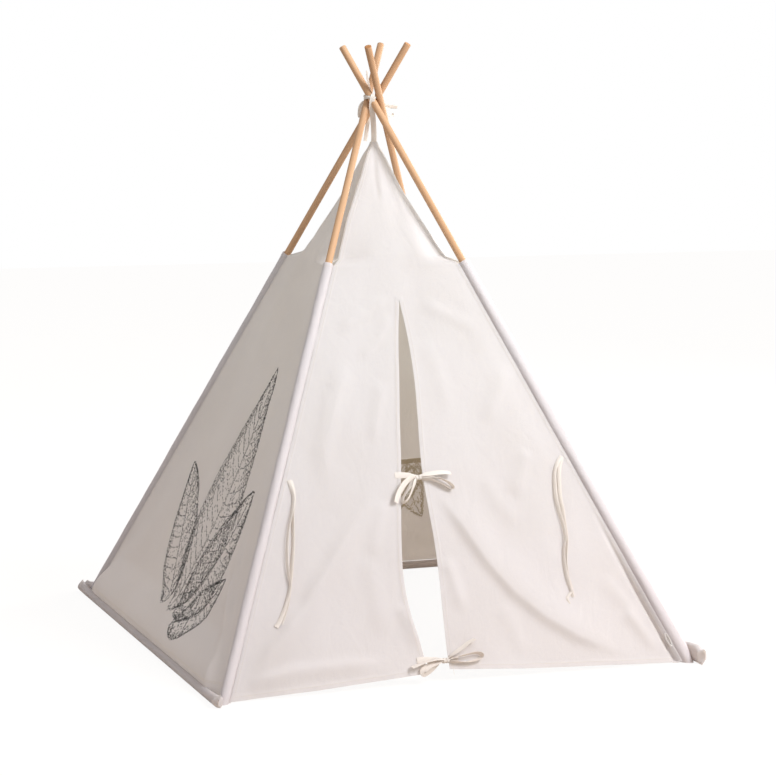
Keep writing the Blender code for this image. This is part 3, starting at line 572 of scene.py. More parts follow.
class Face:
    """One side of the cover. A place on it is x, from its middle to the right seen from outside, and z."""

    def __init__(self, name):
        self.name = name
        self.a, self.b = (POLES[corner] for corner in FACES[name])
        middle = (self.a.foot + self.b.foot) / 2
        self.reach = np.linalg.norm(middle)
        self.outward = unit(middle)
        self.across = np.cross(UP, self.outward)
        self.normal = unit(self.outward * CROSSING_HEIGHT + UP * self.reach)
        self.stretch = math.hypot(1, self.reach / CROSSING_HEIGHT)
        if name == "front":
            self.bottom = FRONT_HEM
        else:
            start = abs(self.a.foot @ self.outward) + self.a.foot_reach(self.outward)
            lean = abs(self.a.along @ self.outward) / self.a.along[2]
            self.hem_height = HEM_LIFT + HEM_RADIUS
            self.hem_far = start - lean * self.hem_height + (HEM_RADIUS + GAP) * math.hypot(1, lean)
            self.bottom = self.hem_height + HEM_RADIUS + GAP

    def edges(self, z, ease=CORNER_TURN[1] - CORNER_TURN[0]):
        """The two seams' points at each height."""
        turn = smooth((z - CORNER_TURN[0]) / ease)[..., None]
        found = []
        for pole, other in ((self.a, self.b), (self.b, self.a)):
            heights, reaches = CORNER_AT[pole.name]
            corner = outer(np.interp(peak_share(z), heights, reaches[0]), pole.foot) + outer(z, UP)
            seam = pole.seam(other, z, SEAM_LAP)
            found.append(seam + (corner - seam) * turn)
        return found

    def seam_x(self, z):
        a, b = self.edges(z)
        return a @ self.across, b @ self.across

    def bare(self, x, z):
        """The cover drawn tight, without folds."""
        x, z = np.broadcast_arrays(np.asarray(x, float), np.asarray(z, float))
        a, b = self.edges(z)
        xa, xb = a @ self.across, b @ self.across
        share = ((x - xa) / (xb - xa))[..., None]
        tight = a + (b - a) * share
        slow_a, slow_b = self.edges(z, CORNER_EASE)
        behind = (slow_a + (slow_b - slow_a) * share - tight) @ self.normal
        behind = behind * smooth(np.minimum(share, 1 - share) / 0.32)[..., 0]
        tight = tight + outer(behind, self.normal)
        if self.name == "front":
            flat = door_plane(x, z)
            for seam, at, side in ((a, xa, -1), (b, xb, 1)):
                edge = hinge_x(side, z)
                share = np.clip((x - edge) / (at - edge), 0, None)[..., None]
                hinge = door_plane(edge, z)
                flat = np.where(((x - edge) * side > 0)[..., None], hinge + (seam - hinge) * share, flat)
            tight = flat + (tight - flat) * smooth((z - DOOR_TOP) / 0.09)[..., None]
        return tight, xa, xb

    def turned(self, x, z, xa, xb):
        """How much of a turned edge lies under a place, from 0 to 1."""
        away = np.minimum(x - xa, xb - x) / np.clip((xb - xa) / 0.12, 0.3, 1)
        if self.name == "front":
            slit = np.where(x < middle_x(z), slit_x(-1, z) - x, x - slit_x(1, z))
            away = np.minimum(away, np.where(z < DOOR_TOP, slit, np.hypot(x - DOOR_SHIFT, z - DOOR_TOP)))
            away = np.minimum(away, z - front_bottom(x))
        return 1 - smooth((np.abs(away) - TURNED_WIDTH) / 0.0018)

    def relief(self, x, z, xa, xb):
        width = xb - xa
        reach = np.minimum(0.07, width * 0.3)
        calm = smooth((x - xa) / reach) * smooth((xb - x) / reach)
        share = np.clip(peak_share(z), 0, 1)
        waves = sum(part * np.sin(kx * x + kz * z + phase) for kx, kz, phase, part in WAVES[self.name])
        fan = x / (CROSSING_HEIGHT + 0.12 - z)
        waves = waves + 0.9 * np.sin(fan * 21 + z * 2.0 + 1.3) + 0.6 * np.sin(fan * 37 - z * 3.0)
        low = smooth((z - self.bottom) / 0.12) if self.name != "front" else 1.0
        height = WAVE_HEIGHT * waves * (1 - 0.75 * share) * low
        for fold in FOLDS[self.name]:
            height = height + ridge(x, z, *fold) * low
        u = (x - xa) / width
        crown = 1 - (2 * u - 1) ** 2
        for x0, z0, near in np.array(CALM.get(self.name, ())) / 1000:
            height = height * (1 - 0.92 * np.exp(-((x - x0) ** 2 + (z - z0) ** 2) / near ** 2))
        puff = 0.007 * crown * np.sin(math.pi * share) ** 2
        pleats = 0.0050 * crown * share ** 2 * smooth((1 - share) * 2.5) * np.cos(3 * math.pi * (u - 0.5)) ** 2
        tucked = 0.0
        if self.name == "front":
            tucked = TUCK[0] * tuck_share(z) * np.exp(-((xb - x - TUCK[1]) / TUCK[2]) ** 2)
            tucked = np.minimum(tucked, np.maximum(z - 0.001, 0) / self.normal[2])
        return height * calm + puff + pleats - tucked

    def clear(self, x, z, xa, xb):
        """1 in the middle, down to 0 at both seams."""
        return smooth((x - xa) / 0.06) * smooth((xb - x) / 0.06)

    def side_bottom(self, x, z):
        """The bottom edge's height: on top of the hem tube, but down to the ground beside a sleeve."""
        near = self.clear(x, z, *self.seam_x(z))
        return 0.003 + (self.bottom - 0.003) * smooth((near - 0.78) / 0.22)

    def surface(self, x, z):
        """The cloth's outer side."""
        tight, xa, xb = self.bare(x, z)
        raised = self.relief(x, z, xa, xb) + CLOTH + TURNED_EDGE * self.turned(x, z, xa, xb)
        points = tight + outer(raised, self.normal)
        if self.name != "front":
            share = smooth(1 - (z - self.bottom) / HEM_FLARE) * self.clear(x, z, xa, xb)
            gap = self.hem_far + CLOTH / 2 - points @ self.outward
            points = points + outer(share * gap, self.outward)
        return points

    def facing(self, x, z, step=0.0012):
        """The cloth's outward direction."""
        x, z = np.broadcast_arrays(np.asarray(x, float), np.asarray(z, float))
        dx = self.surface(x + step, z) - self.surface(x - step, z)
        dz = self.surface(x, z + step) - self.surface(x, z - step)
        return unit(np.cross(dx, dz))

    def key_points(self, sign):
        """The points that divide one half, low and high on its middle and on its seam, and its pole."""
        pole, other = (self.a, self.b) if sign < 0 else (self.b, self.a)
        heights = {"low": self.bottom, "high": TOP_SEAM}
        seam = {key: pole.seam(other, z) for key, z in heights.items()}
        x = DOOR_SHIFT if self.name == "front" else 0.0
        middle = {key: self.bare(x, z)[0] for key, z in heights.items()}
        return middle, seam, pole


def front_bottom(x):
    return np.interp(x, *zip(*FRONT_BOTTOM))


FACE = {name: Face(name) for name in FACES}
FRONT = FACE["front"]


# Regions of the cover: each lies between the cover's middle and one pole

FLAP_BEND = 0.060


def foot_of(point, a, b):
    """The nearest place to a point on the line through a and b."""
    line = unit(b - a)
    return a + line * ((point - a) @ line)


class Region:
    def __init__(self, name, body, start, end, planes):
        self.name, self.body, self.start, self.end, self.planes = name, body, start, end, planes

    def holds(self, points):
        inside = np.ones(len(points), bool)
        for origin, direction in self.planes:
            inside &= (points - origin) @ direction >= 0
        return inside

    def attach(self, obj):
        tuple(self.start)
        tuple(self.end)
        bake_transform(obj)


def plane_through(a, b, face, towards):
    """A plane on a line and square to the face, and its direction towards a point."""
    direction = unit(np.cross(b - a, face.normal))
    return a, direction * math.copysign(1, (towards - a) @ direction)


def turned_over(plane):
    return plane[0], -plane[1]


def regions_of(face, sign):
    """The regions of one half of a face."""
    middle, seam, pole = face.key_points(sign)
    level = (np.array((0, 0, TOP_SEAM)), UP)
    below = turned_over(level)
    made = {}
    side = "left" if sign < 0 else "right"

    def add(part, start, end, *planes):
        made[part] = Region(f"{face.name}_{side}_{part}", pole.body, start, end, planes)

    add("peak", foot_of(seam["high"], middle["high"], CREST), seam["high"], level)
    if face.name == "front":
        top = door_plane(DOOR_SHIFT, DOOR_TOP)
        foot = door_plane(sign * DOOR_HALF, FRONT_HEM)
        hinge = plane_through(top, foot, face, seam["low"])
        low_line = plane_through(top, seam["low"], face, foot)
        high_line = plane_through(top, seam["high"], face, seam["low"])
        door_side = turned_over(hinge)
        made["flap"] = Region(f"door_{side}_flap", "flap_" + side, foot, foot + door_side[1] * FLAP_BEND,
                              (door_side, (top, -UP)))
        add("low", foot_of(seam["low"], top, foot), seam["low"], hinge, low_line)
        add("side", top, foot_of(top, seam["low"], seam["high"]), turned_over(low_line), high_line, below)
        add("yoke", foot_of(seam["high"], top, middle["high"]), seam["high"], turned_over(high_line), (top, UP), below)
        cuts = [hinge, low_line, high_line, level]
    else:
        diagonal = plane_through(middle["high"], seam["low"], face, middle["low"])
        add("low", foot_of(seam["low"], middle["low"], middle["high"]), seam["low"], diagonal, below)
        add("side", middle["high"], foot_of(middle["high"], seam["low"], seam["high"]), turned_over(diagonal), below)
        cuts = [diagonal, level]
    return made, cuts


REGIONS = {(name, sign): regions_of(FACE[name], sign) for name in FACES for sign in (-1, 1)}


def choose_regions(face, sign, centres):
    """The name of the region that each place of a half belongs to."""
    made, _ = REGIONS[face.name, sign]
    chosen = np.full(len(centres), -1)
    names = list(made)
    for k, key in enumerate(names):
        free = (chosen < 0) & made[key].holds(centres)
        chosen[free] = k
    chosen[chosen < 0] = names.index("side")
    return chosen, names


# Cloth meshes

def column_shares(width, count):
    """Where a row's columns stand: close at both turned edges, even between them."""
    edge = np.array((0.0, 0.004, TURNED_WIDTH, TURNED_WIDTH + 0.002))
    edge = edge * np.clip(width / 0.12, 0.15, 1)[:, None] / width[:, None]
    inner = edge[:, -1:] + (1 - 2 * edge[:, -1:]) * np.linspace(0, 1, count)[None, :]
    return np.concatenate((edge[:, :-1], inner, 1 - edge[:, -2::-1]), axis=1)


def row_heights(face, cell):
    low = face.bottom
    stops = [low, low + 0.004, low + TURNED_WIDTH, low + TURNED_WIDTH + 0.002, DOOR_TOP, TOP_SEAM, *CORNER_TURN,
             PEAK_HEIGHT]
    rows = [low]
    for a, b in zip(stops, stops[1:]):
        cells = max(1, math.ceil((b - a) * face.stretch / cell))
        if b == CORNER_TURN[1]:
            cells = 6
        rows.extend(a + (b - a) * np.arange(1, cells + 1) / cells)
    return np.array(rows)


def half_grid(face, sign, cell):
    """x and z of one half's grid: from the seam to the slit or the face's middle."""
    rows = row_heights(face, cell)
    count = math.ceil((WIDTH / 2) / cell)

    def inner(z):
        if face.name != "front":
            return np.zeros_like(z)
        return np.where(z < DOOR_TOP, slit_x(sign, z), middle_x(z))

    def spread(z):
        xa, xb = face.seam_x(z)
        edge = inner(z)
        return (xa, edge) if sign < 0 else (edge, xb)

    left, right = spread(rows)
    shares = column_shares(right - left, count)
    x = left[:, None] + (right - left)[:, None] * shares
    z = np.repeat(rows[:, None], x.shape[1], axis=1)
    if face.name == "front":
        z = z + (front_bottom(x) - FRONT_HEM) * smooth(1 - (z - FRONT_HEM) / 0.20)
    else:
        z = z + (face.side_bottom(x, z) - face.bottom) * smooth(1 - (z - face.bottom) / 0.06)
    left, right = spread(z)
    return left + (right - left) * shares, z


def grid_mesh(face, sign, cell):
    x, z = half_grid(face, sign, cell)
    points = face.surface(x, z)
    facing = face.facing(x, z)
    _, xa, xb = face.bare(x, z)
    wall = FABRIC + TURNED_EDGE * face.turned(x, z, xa, xb)
    rows, columns = x.shape
    number = np.arange(rows * columns).reshape(rows, columns)
    faces = np.stack((number[:-1, :-1], number[:-1, 1:], number[1:, 1:], number[1:, :-1]), -1).reshape(-1, 4)
    cloth = triples(x, z * face.stretch)
    return mesh_of("grid", points.reshape(-1, 3), faces, cloth=cloth.reshape(-1, 3), facing=facing.reshape(-1, 3),
                   wall=wall.ravel())


def values_of(mesh, key, wide):
    found = np.empty(len(mesh.vertices) * wide, np.float32)
    mesh.attributes[key].data.foreach_get("vector" if wide == 3 else "value", found)
    return found.reshape(-1, 3) if wide == 3 else found


def cut_apart(face, sign, mesh):
    """Cuts one half's grid along its regions' borders, and gives the faces of each region."""
    made, cuts = REGIONS[face.name, sign]
    bm = bmesh.new()
    bm.from_mesh(mesh)
    for origin, direction in cuts:
        bmesh.ops.bisect_plane(bm, geom=bm.verts[:] + bm.edges[:] + bm.faces[:], dist=1e-5,
                               plane_co=origin.tolist(), plane_no=direction.tolist())
    bm.to_mesh(mesh)
    bm.free()
    points = np.empty(len(mesh.vertices) * 3, np.float32)
    mesh.vertices.foreach_get("co", points)
    points = points.reshape(-1, 3).astype(float)
    data = points, values_of(mesh, "facing", 3), values_of(mesh, "cloth", 3), values_of(mesh, "wall", 1)
    corners = [tuple(p.vertices) for p in mesh.polygons]
    centres = np.array([points[list(c)].mean(axis=0) for c in corners])
    chosen, names = choose_regions(face, sign, centres)
    for k, key in enumerate(names):
        subset = [corners[i] for i in np.flatnonzero(chosen == k)]
        if subset:
            yield made[key], subset, data


def cloth_solid(name, faces, data):
    """Cloth with its thickness: an outer and an inner side and a rim, shaded by the whole cover's curve."""
    points, facing, cloth, wall = data
    used = np.unique(np.concatenate([np.array(f) for f in faces]))
    renumber = np.full(len(points), -1)
    renumber[used] = np.arange(len(used))
    faces = [tuple(renumber[list(f)]) for f in faces]
    count = len(used)
    out = unit(facing[used])
    outer, cloth = points[used], cloth[used]
    inner = outer - out * wall[used][:, None]
    edges = {(a, b) for f in faces for a, b in zip(f, f[1:] + f[:1])}
    rim = sorted((a, b) for a, b in edges if (b, a) not in edges)
    every = faces + [tuple(v + count for v in reversed(f)) for f in faces]
    every += [(b, a, a + count, b + count) for a, b in rim]
    mesh = mesh_of(name, np.vstack((outer, inner)), every, cloth=np.vstack((cloth, cloth)))
    normals = []
    for f in faces:
        normals.extend(out[list(f)])
    for f in faces:
        normals.extend(-out[list(f)[::-1]])
    for a, b in rim:
        normals.extend([unit(np.cross(outer[b] - outer[a], out[a] + out[b]) + 1e-9)] * 4)
    mesh.normals_split_custom_set(np.array(normals).tolist())
    return mesh, cut_size(cloth[:, :2]), cut_area(faces, cloth[:, :2])


def cut_size(flat):
    """The least rectangle that a flat cut fits in."""
    best = None
    for angle in np.arange(0, 90, 3) * math.pi / 180:
        turned = flat @ np.array(((math.cos(angle), -math.sin(angle)), (math.sin(angle), math.cos(angle))))
        size = np.ptp(turned, axis=0)
        if best is None or size.prod() < best.prod():
            best = size
    return best


def cut_area(faces, flat):
    area = 0.0
    for f in faces:
        p = flat[list(f)]
        area += abs(np.dot(p[:, 0], np.roll(p[:, 1], -1)) - np.dot(p[:, 1], np.roll(p[:, 0], -1))) / 2
    return area


# Stitches, laid by geometry nodes along seam lines

def stitch_tree():
    tree = bpy.data.node_groups.new("stitches", "GeometryNodeTree")
    face = tree.interface
    face.new_socket("Lines", in_out="INPUT", socket_type="NodeSocketGeometry")
    for name, value in (("Pitch", STITCH_PITCH), ("Length", STITCH_LENGTH), ("Thread", THREAD)):
        face.new_socket(name, in_out="INPUT", socket_type="NodeSocketFloat").default_value = value
    face.new_socket("Finish", in_out="INPUT", socket_type="NodeSocketMaterial")
    face.new_socket("Stitches", in_out="OUTPUT", socket_type="NodeSocketGeometry")

    def made(kind, values=None, family="GeometryNode", **settings):
        return add_node(tree, family + kind, values, **settings).outputs[0]

    given = add_node(tree, "NodeGroupInput").outputs
    line = made("MeshToCurve", {"Mesh": given["Lines"]})
    even = made("ResampleCurve", {"Curve": line, "Length": given["Pitch"]}, mode="LENGTH")
    away = made("InputNamedAttribute", {"Name": "away"}, data_type="FLOAT_VECTOR")
    heading = made("AlignRotationToVector", {"Vector": made("InputTangent")}, "FunctionNode", axis="X")
    level = made("AlignRotationToVector", {"Rotation": heading, "Vector": away}, "FunctionNode", axis="Z",
                 pivot_axis="X")
    bar = made("MeshCylinder", {"Vertices": 6, "Side Segments": 1, "Radius": 0.5, "Depth": 1.0}, fill_type="NGON")
    lying = made("Transform", {"Geometry": bar, "Rotation": (0, math.pi / 2, 0)})
    size = made("CombineXYZ", {0: given["Length"], 1: given["Thread"], 2: given["Thread"]}, "ShaderNode")
    laid = made("InstanceOnPoints", {"Points": even, "Instance": lying, "Rotation": level, "Scale": size})
    smoothed = made("SetShadeSmooth", {"Geometry": made("RealizeInstances", {"Geometry": laid})})
    finished = made("SetMaterial", {"Geometry": smoothed, "Material": given["Finish"]})
    add_node(tree, "NodeGroupOutput", {0: finished})
    return tree


STITCHES = stitch_tree()


def stitch(name, lines):
    """Stitches along lines; each line is its points and the directions away from the cloth."""
    points, away, edges, start = [], [], [], 0
    for line, out in lines:
        points.extend(np.asarray(line) + np.asarray(out) * THREAD * 0.15)
        away.extend(out)
        edges.extend((start + k, start + k + 1) for k in range(len(line) - 1))
        start += len(line)
    mesh = bpy.data.meshes.new(name)
    mesh.from_pydata(np.array(points).tolist(), edges, [])
    mesh.attributes.new("away", "FLOAT_VECTOR", "POINT").data.foreach_set(
        "vector", np.array(away, np.float32).ravel())
    guide = piece("guide_" + name, mesh)
    step = guide.modifiers.new("stitches", "NODES")
    step.node_group = STITCHES
    values = {"Pitch": STITCH_PITCH, "Length": STITCH_LENGTH, "Thread": THREAD, "Finish": THREAD_FINISH}
    for item in STITCHES.interface.items_tree:
        if item.in_out == "INPUT" and item.name in values:
            step[item.identifier] = values[item.name]
    graph = bpy.context.evaluated_depsgraph_get()
    made = bpy.data.meshes.new_from_object(guide.evaluated_get(graph))
    bpy.data.objects.remove(guide)
    return shown(name, made)


# Tapes and cords come first

def ahead_of(line):
    return unit(np.gradient(line, axis=0))


def rounded_strip(line, across, widths, thickness, curl):
    """Rings of a flat tape along a line: a thin oval section, slightly curled."""
    up = np.cross(ahead_of(line), across)
    shares = np.linspace(-0.5, 0.5, 7)
    ring = [(s, 1.0) for s in shares] + [(s, -1.0) for s in shares[::-1]]
    rings = []
    for s, face in ring:
        lift = curl * (0.25 - s * s) * 4 * widths + face * thickness / 2 * (1 if abs(s) < 0.49 else 0.55)
        rings.append(line + across * widths * s + up * lift)
    run = np.concatenate(([0], np.cumsum(np.linalg.norm(np.diff(line, axis=0), axis=1))))
    return np.stack(rings, axis=1), np.stack([triples(s * 0.015, run) for s, _ in ring], axis=1)


def carried(line, across):
    """A direction carried along a line without twist."""
    found = []
    for step in ahead_of(line):
        across = unit(across - step * (across @ step))
        found.append(across)
    return np.array(found)


def tape(name, line, across, width, pinch=None, curl=0.03, twist=None):
    """A band of tape; it may narrow near a place: the place, to what share, and how far around."""
    ahead, steps = ahead_of(line), np.linspace(0, 1, len(line))
    if isinstance(across, dict):
        turned = np.array([np.interp(steps, list(across), part) for part in zip(*across.values())]).T
        directions = unit(turned - ahead * (turned * ahead).sum(axis=1, keepdims=True))
    else:
        directions = carried(line, np.asarray(across, float))
    if twist is not None:
        angles = np.interp(steps, *zip(*twist))[:, None]
        directions = directions * np.cos(angles) + np.cross(ahead, directions) * np.sin(angles)
    share = np.ones(len(line))
    if pinch:
        place, least, spread = pinch
        share = np.minimum(share, least + (1 - least) * smooth(np.linalg.norm(line - place, axis=1) / spread))
    rings, cloth = rounded_strip(line, directions, (width * share)[:, None], TAPE_THICKNESS, curl)
    return piece(name, loft(name, rings, sharp=75, cloth=cloth), TAPE)


def on_door(points):
    return np.array([door_plane(x, z) + FRONT.normal * lift for x, z, lift in points])


UP_THE_DOOR = np.cross(FRONT.normal, (1.0, 0.0, 0.0))
TIE_WIDTH, TIE_BACK_WIDTH, LASHING_TIE, TAPE_THICKNESS = 0.015, 0.011, 0.010, 0.0009
# The two bows' knots on the door: their x and z, how far they stand off it, and half their size
UPPER_KNOT, LOWER_KNOT, KNOT_LIFT = (-0.042, 0.463), (-0.042, 0.050), 0.0082
KNOT_HALF, KNOT_UP, KNOT_OUT = 0.0082, 0.0060, 0.0062

# Each tie in order: from where it is sewn to the knot, round its loop, and out to its tail: x, z and height
TIES = {
    "upper_tie_left": route_of(
        -980, 4720, 24, -800, 4715, 34, -620, 4690, 52, -470, 4650, 66, -530, 4570, 80, -620, 4470, 90,
        -730, 4360, 96, -830, 4250, 100, -905, 4150, 106, -890, 4080, 118, -800, 4110, 130, -700, 4230, 135,
        -610, 4370, 132, -530, 4510, 122, -460, 4640, 106, -540, 4640, 140, -680, 4580, 155, -820, 4480, 160,
        -940, 4350, 155, -1030, 4220, 145, -1090, 4080, 130),
    "upper_tie_right": route_of(
        10, 4645, 24, -100, 4645, 36, -230, 4640, 50, -375, 4635, 66, -260, 4600, 82, -100, 4565, 90, 60, 4510, 96,
        200, 4440, 100, 330, 4365, 102, 430, 4325, 108, 450, 4370, 122, 360, 4460, 134, 220, 4540, 138,
        50, 4595, 134, -140, 4635, 124, -375, 4650, 106, -250, 4675, 140, -80, 4690, 156, 100, 4700, 158,
        270, 4700, 148, 450, 4680, 132),
    "lower_tie_left": route_of(
        -1120, 560, 24, -940, 560, 30, -760, 540, 40, -600, 525, 52, -470, 515, 66, -560, 460, 82, -680, 390, 90,
        -800, 320, 96, -920, 260, 100, -1020, 240, 108, -1040, 300, 122, -960, 365, 132, -830, 420, 134,
        -690, 460, 126, -560, 490, 114, -465, 510, 106, -540, 530, 140, -680, 530, 156, -840, 510, 160,
        -1000, 480, 154, -1160, 440, 142, -1310, 405, 128),
    "lower_tie_right": route_of(
        -60, 510, 24, -180, 510, 36, -280, 510, 50, -375, 510, 66, -280, 470, 82, -130, 440, 90, 40, 430, 96,
        220, 435, 100, 380, 460, 102, 490, 500, 110, 510, 555, 124, 430, 595, 134, 290, 600, 138, 120, 580, 136,
        -80, 555, 128, -260, 530, 116, -375, 515, 106, -310, 575, 140, -220, 620, 156, -90, 680, 162, 60, 755, 158,
        210, 840, 144, 390, 915, 128),
}
# How far a tie's flat side is turned out of the door's plane, in radians, along its length
TIE_TWIST = ((0, 0), (0.18, 0), (0.30, 0.75), (0.46, 1.05), (0.62, 0.80), (0.74, 0), (0.88, 0.30), (1, 0.12))
TIE_BACKS = {
    "left_a": route_of(
        -3680, 4740, 30, -3648, 4534, 52, -3645, 4308, 70, -3724, 4042, 82, -3846, 3735, 90, -3965, 3318, 94,
        -4022, 2943, 94, -4038, 2678, 90, -4024, 2412, 86, -4144, 2112, 80, -4270, 1857, 74, -4401, 1648, 64,
        -4506, 1524, 56),
    "left_b": route_of(
        -3640, 4730, 24, -3620, 4488, 40, -3648, 4241, 52, -3712, 3975, 58, -3755, 3641, 60, -3817, 3243, 60,
        -3910, 2848, 60, -3985, 2543, 58, -4052, 2281, 54, -4133, 2023, 52, -4240, 1811, 48, -4358, 1601, 44,
        -4413, 1485, 40),
    "right_a": route_of(
        3500, 4950, 30, 3351, 4803, 54, 3229, 4596, 72, 3169, 4316, 84, 3142, 4013, 92, 3159, 3684, 96,
        3203, 3355, 96, 3212, 3052, 92, 3130, 2802, 88, 3077, 2504, 84, 3090, 2158, 76, 3147, 1832, 66,
        3170, 1680, 56),
    "right_b": route_of(
        3500, 4930, 24, 3373, 4636, 40, 3309, 4309, 50, 3272, 3982, 56, 3281, 3677, 58, 3271, 3351, 58,
        3265, 3049, 58, 3211, 2773, 56, 3144, 2500, 52, 3130, 2155, 48, 3165, 1870, 46, 3070, 1745, 52,
        2990, 1650, 58, 3040, 1530, 50),
}
TIE_BACK_TWISTS = {
    "left_a": ((0, 0.2), (0.12, 0.9), (0.3, 1.25), (0.5, 1.05), (0.62, 1.35), (0.75, 0.9), (0.9, 0.5), (1, 0.3)),
    "left_b": ((0, 0.0), (0.25, 1.1), (0.5, 0.8), (0.75, 1.2), (1, 0.5)),
    "right_a": ((0, 0.2), (0.15, 0.9), (0.35, 0.75), (0.5, 1.1), (0.62, 1.35), (0.8, 0.95), (1, 0.6)),
    "right_b": ((0, 0.2), (0.3, 0.7), (0.6, 1.2), (1, 0.6)),
}
LASHING_KNOT = (0.0, 0.0336, 1.3815)
SIDEWAYS = (0.937, -0.349, 0.0)
# The bow behind the lashing: each band's way, and which way its width lies along it
LASHING_TAILS = {
    "lashing_bow": (route_of(
        -30, 345, 13820, -80, 385, 13790, -130, 450, 13700, -185, 490, 13600, -205, 500, 13490, -205, 510, 13380,
        -170, 530, 13330, -125, 555, 13400, -85, 560, 13520, -60, 510, 13660, -20, 420, 13775, 40, 450, 13720,
        70, 505, 13580, 60, 520, 13430, 40, 520, 13300, 20, 515, 13150, -10, 510, 12960, -46, 500, 12715),
        {0: (0.2, -0.1, 1), 0.18: SIDEWAYS, 0.4: SIDEWAYS, 0.5: (0.8, 0.5, 0), 0.62: SIDEWAYS, 1: SIDEWAYS}),
    "lashing_tail": (route_of(
        30, 345, 13820, 160, 390, 13770, 310, 450, 13640, 440, 500, 13490, 570, 520, 13400, 690, 540, 13360,
        730, 575, 13430, 640, 575, 13520, 500, 560, 13580, 340, 520, 13680, 160, 450, 13770, 80, 450, 13830,
        180, 530, 13790, 340, 590, 13710, 500, 600, 13640, 665, 590, 13600, 860, 570, 13590),
        {0: UP, 0.2: (-0.2, 0.7, 0.8), 0.36: (0.1, 0.9, 0.6), 0.5: (-0.2, 0.7, 0.8), 0.66: UP,
        0.8: (0.1, -0.5, 0.87), 1: (0.1, -0.5, 0.87)}),
}


def half_knot(name, centre, axes, low, high, turns=2):
    """One half of a tied knot: tape wrapped round tape, as bulging turns with creases between them."""
    across, out, up = axes
    rings, cloth = [], []
    for share in np.linspace(0, 1, 13):
        s = low + (high - low) * share
        end = 1 - 0.30 * abs(2 * share - 1) ** 3
        ring, flat = [], []
        for angle in round_places(28):
            bulge = end * (1 + 0.10 * abs(math.sin(turns * math.pi * share + math.sin(angle) * 0.7)))
            c, d = math.cos(angle), math.sin(angle)
            sx, sy = math.copysign(abs(c) ** 0.75, c), math.copysign(abs(d) ** 0.75, d)
            ring.append(centre + across * (s + 0.0012 * d) + up * (KNOT_UP * bulge * sx)
                        + out * (KNOT_OUT * bulge * sy))
            flat.append((s * 3, angle * 0.006, 0))
        rings.append(ring)
        cloth.append(flat)
    return piece(name, loft(name, rings, sharp=80, cloth=cloth), TAPE)


def make_ties():
    for name, route in TIES.items():
        side = name.rpartition("_")[2]
        low, high = (-KNOT_HALF, -0.0002) if side == "left" else (0.0002, KNOT_HALF)
        knot = UPPER_KNOT if name.startswith("upper") else LOWER_KNOT
        centre = door_plane(*knot) + FRONT.normal * KNOT_LIFT
        wrap = half_knot(name + "_knot", centre, (np.array((1.0, 0, 0)), FRONT.normal, UP_THE_DOOR), low, high)
        line = smooth_route(on_door(route), 5)
        band = tape(name, line, UP_THE_DOOR, TIE_WIDTH, (centre, 0.42, 0.026), 0.05, TIE_TWIST)
        settle(wrap, "flap_" + side)
        settle(band, "flap_" + side, name)


def on_front(points):
    return np.array([FRONT.bare(x, z)[0] + FRONT.normal * lift for x, z, lift in points])


def region_at(face, point):
    sign = -1 if point @ face.across < (DOOR_SHIFT if face is FRONT else 0) else 1
    chosen, names = choose_regions(face, sign, np.array([point]))
    return REGIONS[face.name, sign][0][names[chosen[0]]]


def make_tie_backs():
    for label, route in TIE_BACKS.items():
        name = "tie_back_" + label
        line = smooth_route(on_front(route), 6)
        band = tape(name, line, (1.0, 0, 0), TIE_BACK_WIDTH, curl=0.08, twist=TIE_BACK_TWISTS[label])
        settle(band, region_at(FRONT, line[len(line) // 2]), name)


def hull(points):
    """The outline of the least convex shape round points of a plane, anticlockwise."""
    points = sorted(map(tuple, points))

    def chain(row):
        kept = []
        for p in row:
            while len(kept) > 1 and ((kept[-1][0] - kept[-2][0]) * (p[1] - kept[-2][1])
                                     - (kept[-1][1] - kept[-2][1]) * (p[0] - kept[-2][0])) <= 0:
                kept.pop()
            kept.append(p)
        return kept[:-1]

    return chain(points) + chain(points[::-1])


def wrap_outline(z, clearance):
    """The tape's way at a height: round the two front poles and back to the knot behind, by its angle."""
    spots = [LASHING_KNOT[:2]]
    for pole in (POLES["front_left"], POLES["front_right"]):
        middle = pole.foot + pole.along * (z / pole.along[2])
        for angle in round_places(60):
            reach = pole.side * math.cos(angle) + pole.out * math.sin(angle)
            level = reach - pole.along * (reach[2] / pole.along[2])
            spots.append((middle + level * (POLE_RADIUS + clearance))[:2])
    outline = np.array(hull(spots))
    centre = np.array((-0.0100, 0.0060))
    closed = np.vstack((outline, outline[:1]))
    steps = np.linspace(0, 1, 12)[:-1, None]
    fine = np.concatenate([a + (b - a) * steps for a, b in zip(closed, closed[1:])]) - centre
    angles, radii = np.arctan2(fine[:, 1], fine[:, 0]), np.linalg.norm(fine, axis=1)
    turn = round_places(120)
    radius = np.interp(turn, angles, radii, period=TURN)
    return centre + np.stack((np.cos(turn), np.sin(turn)), -1) * radius[:, None]


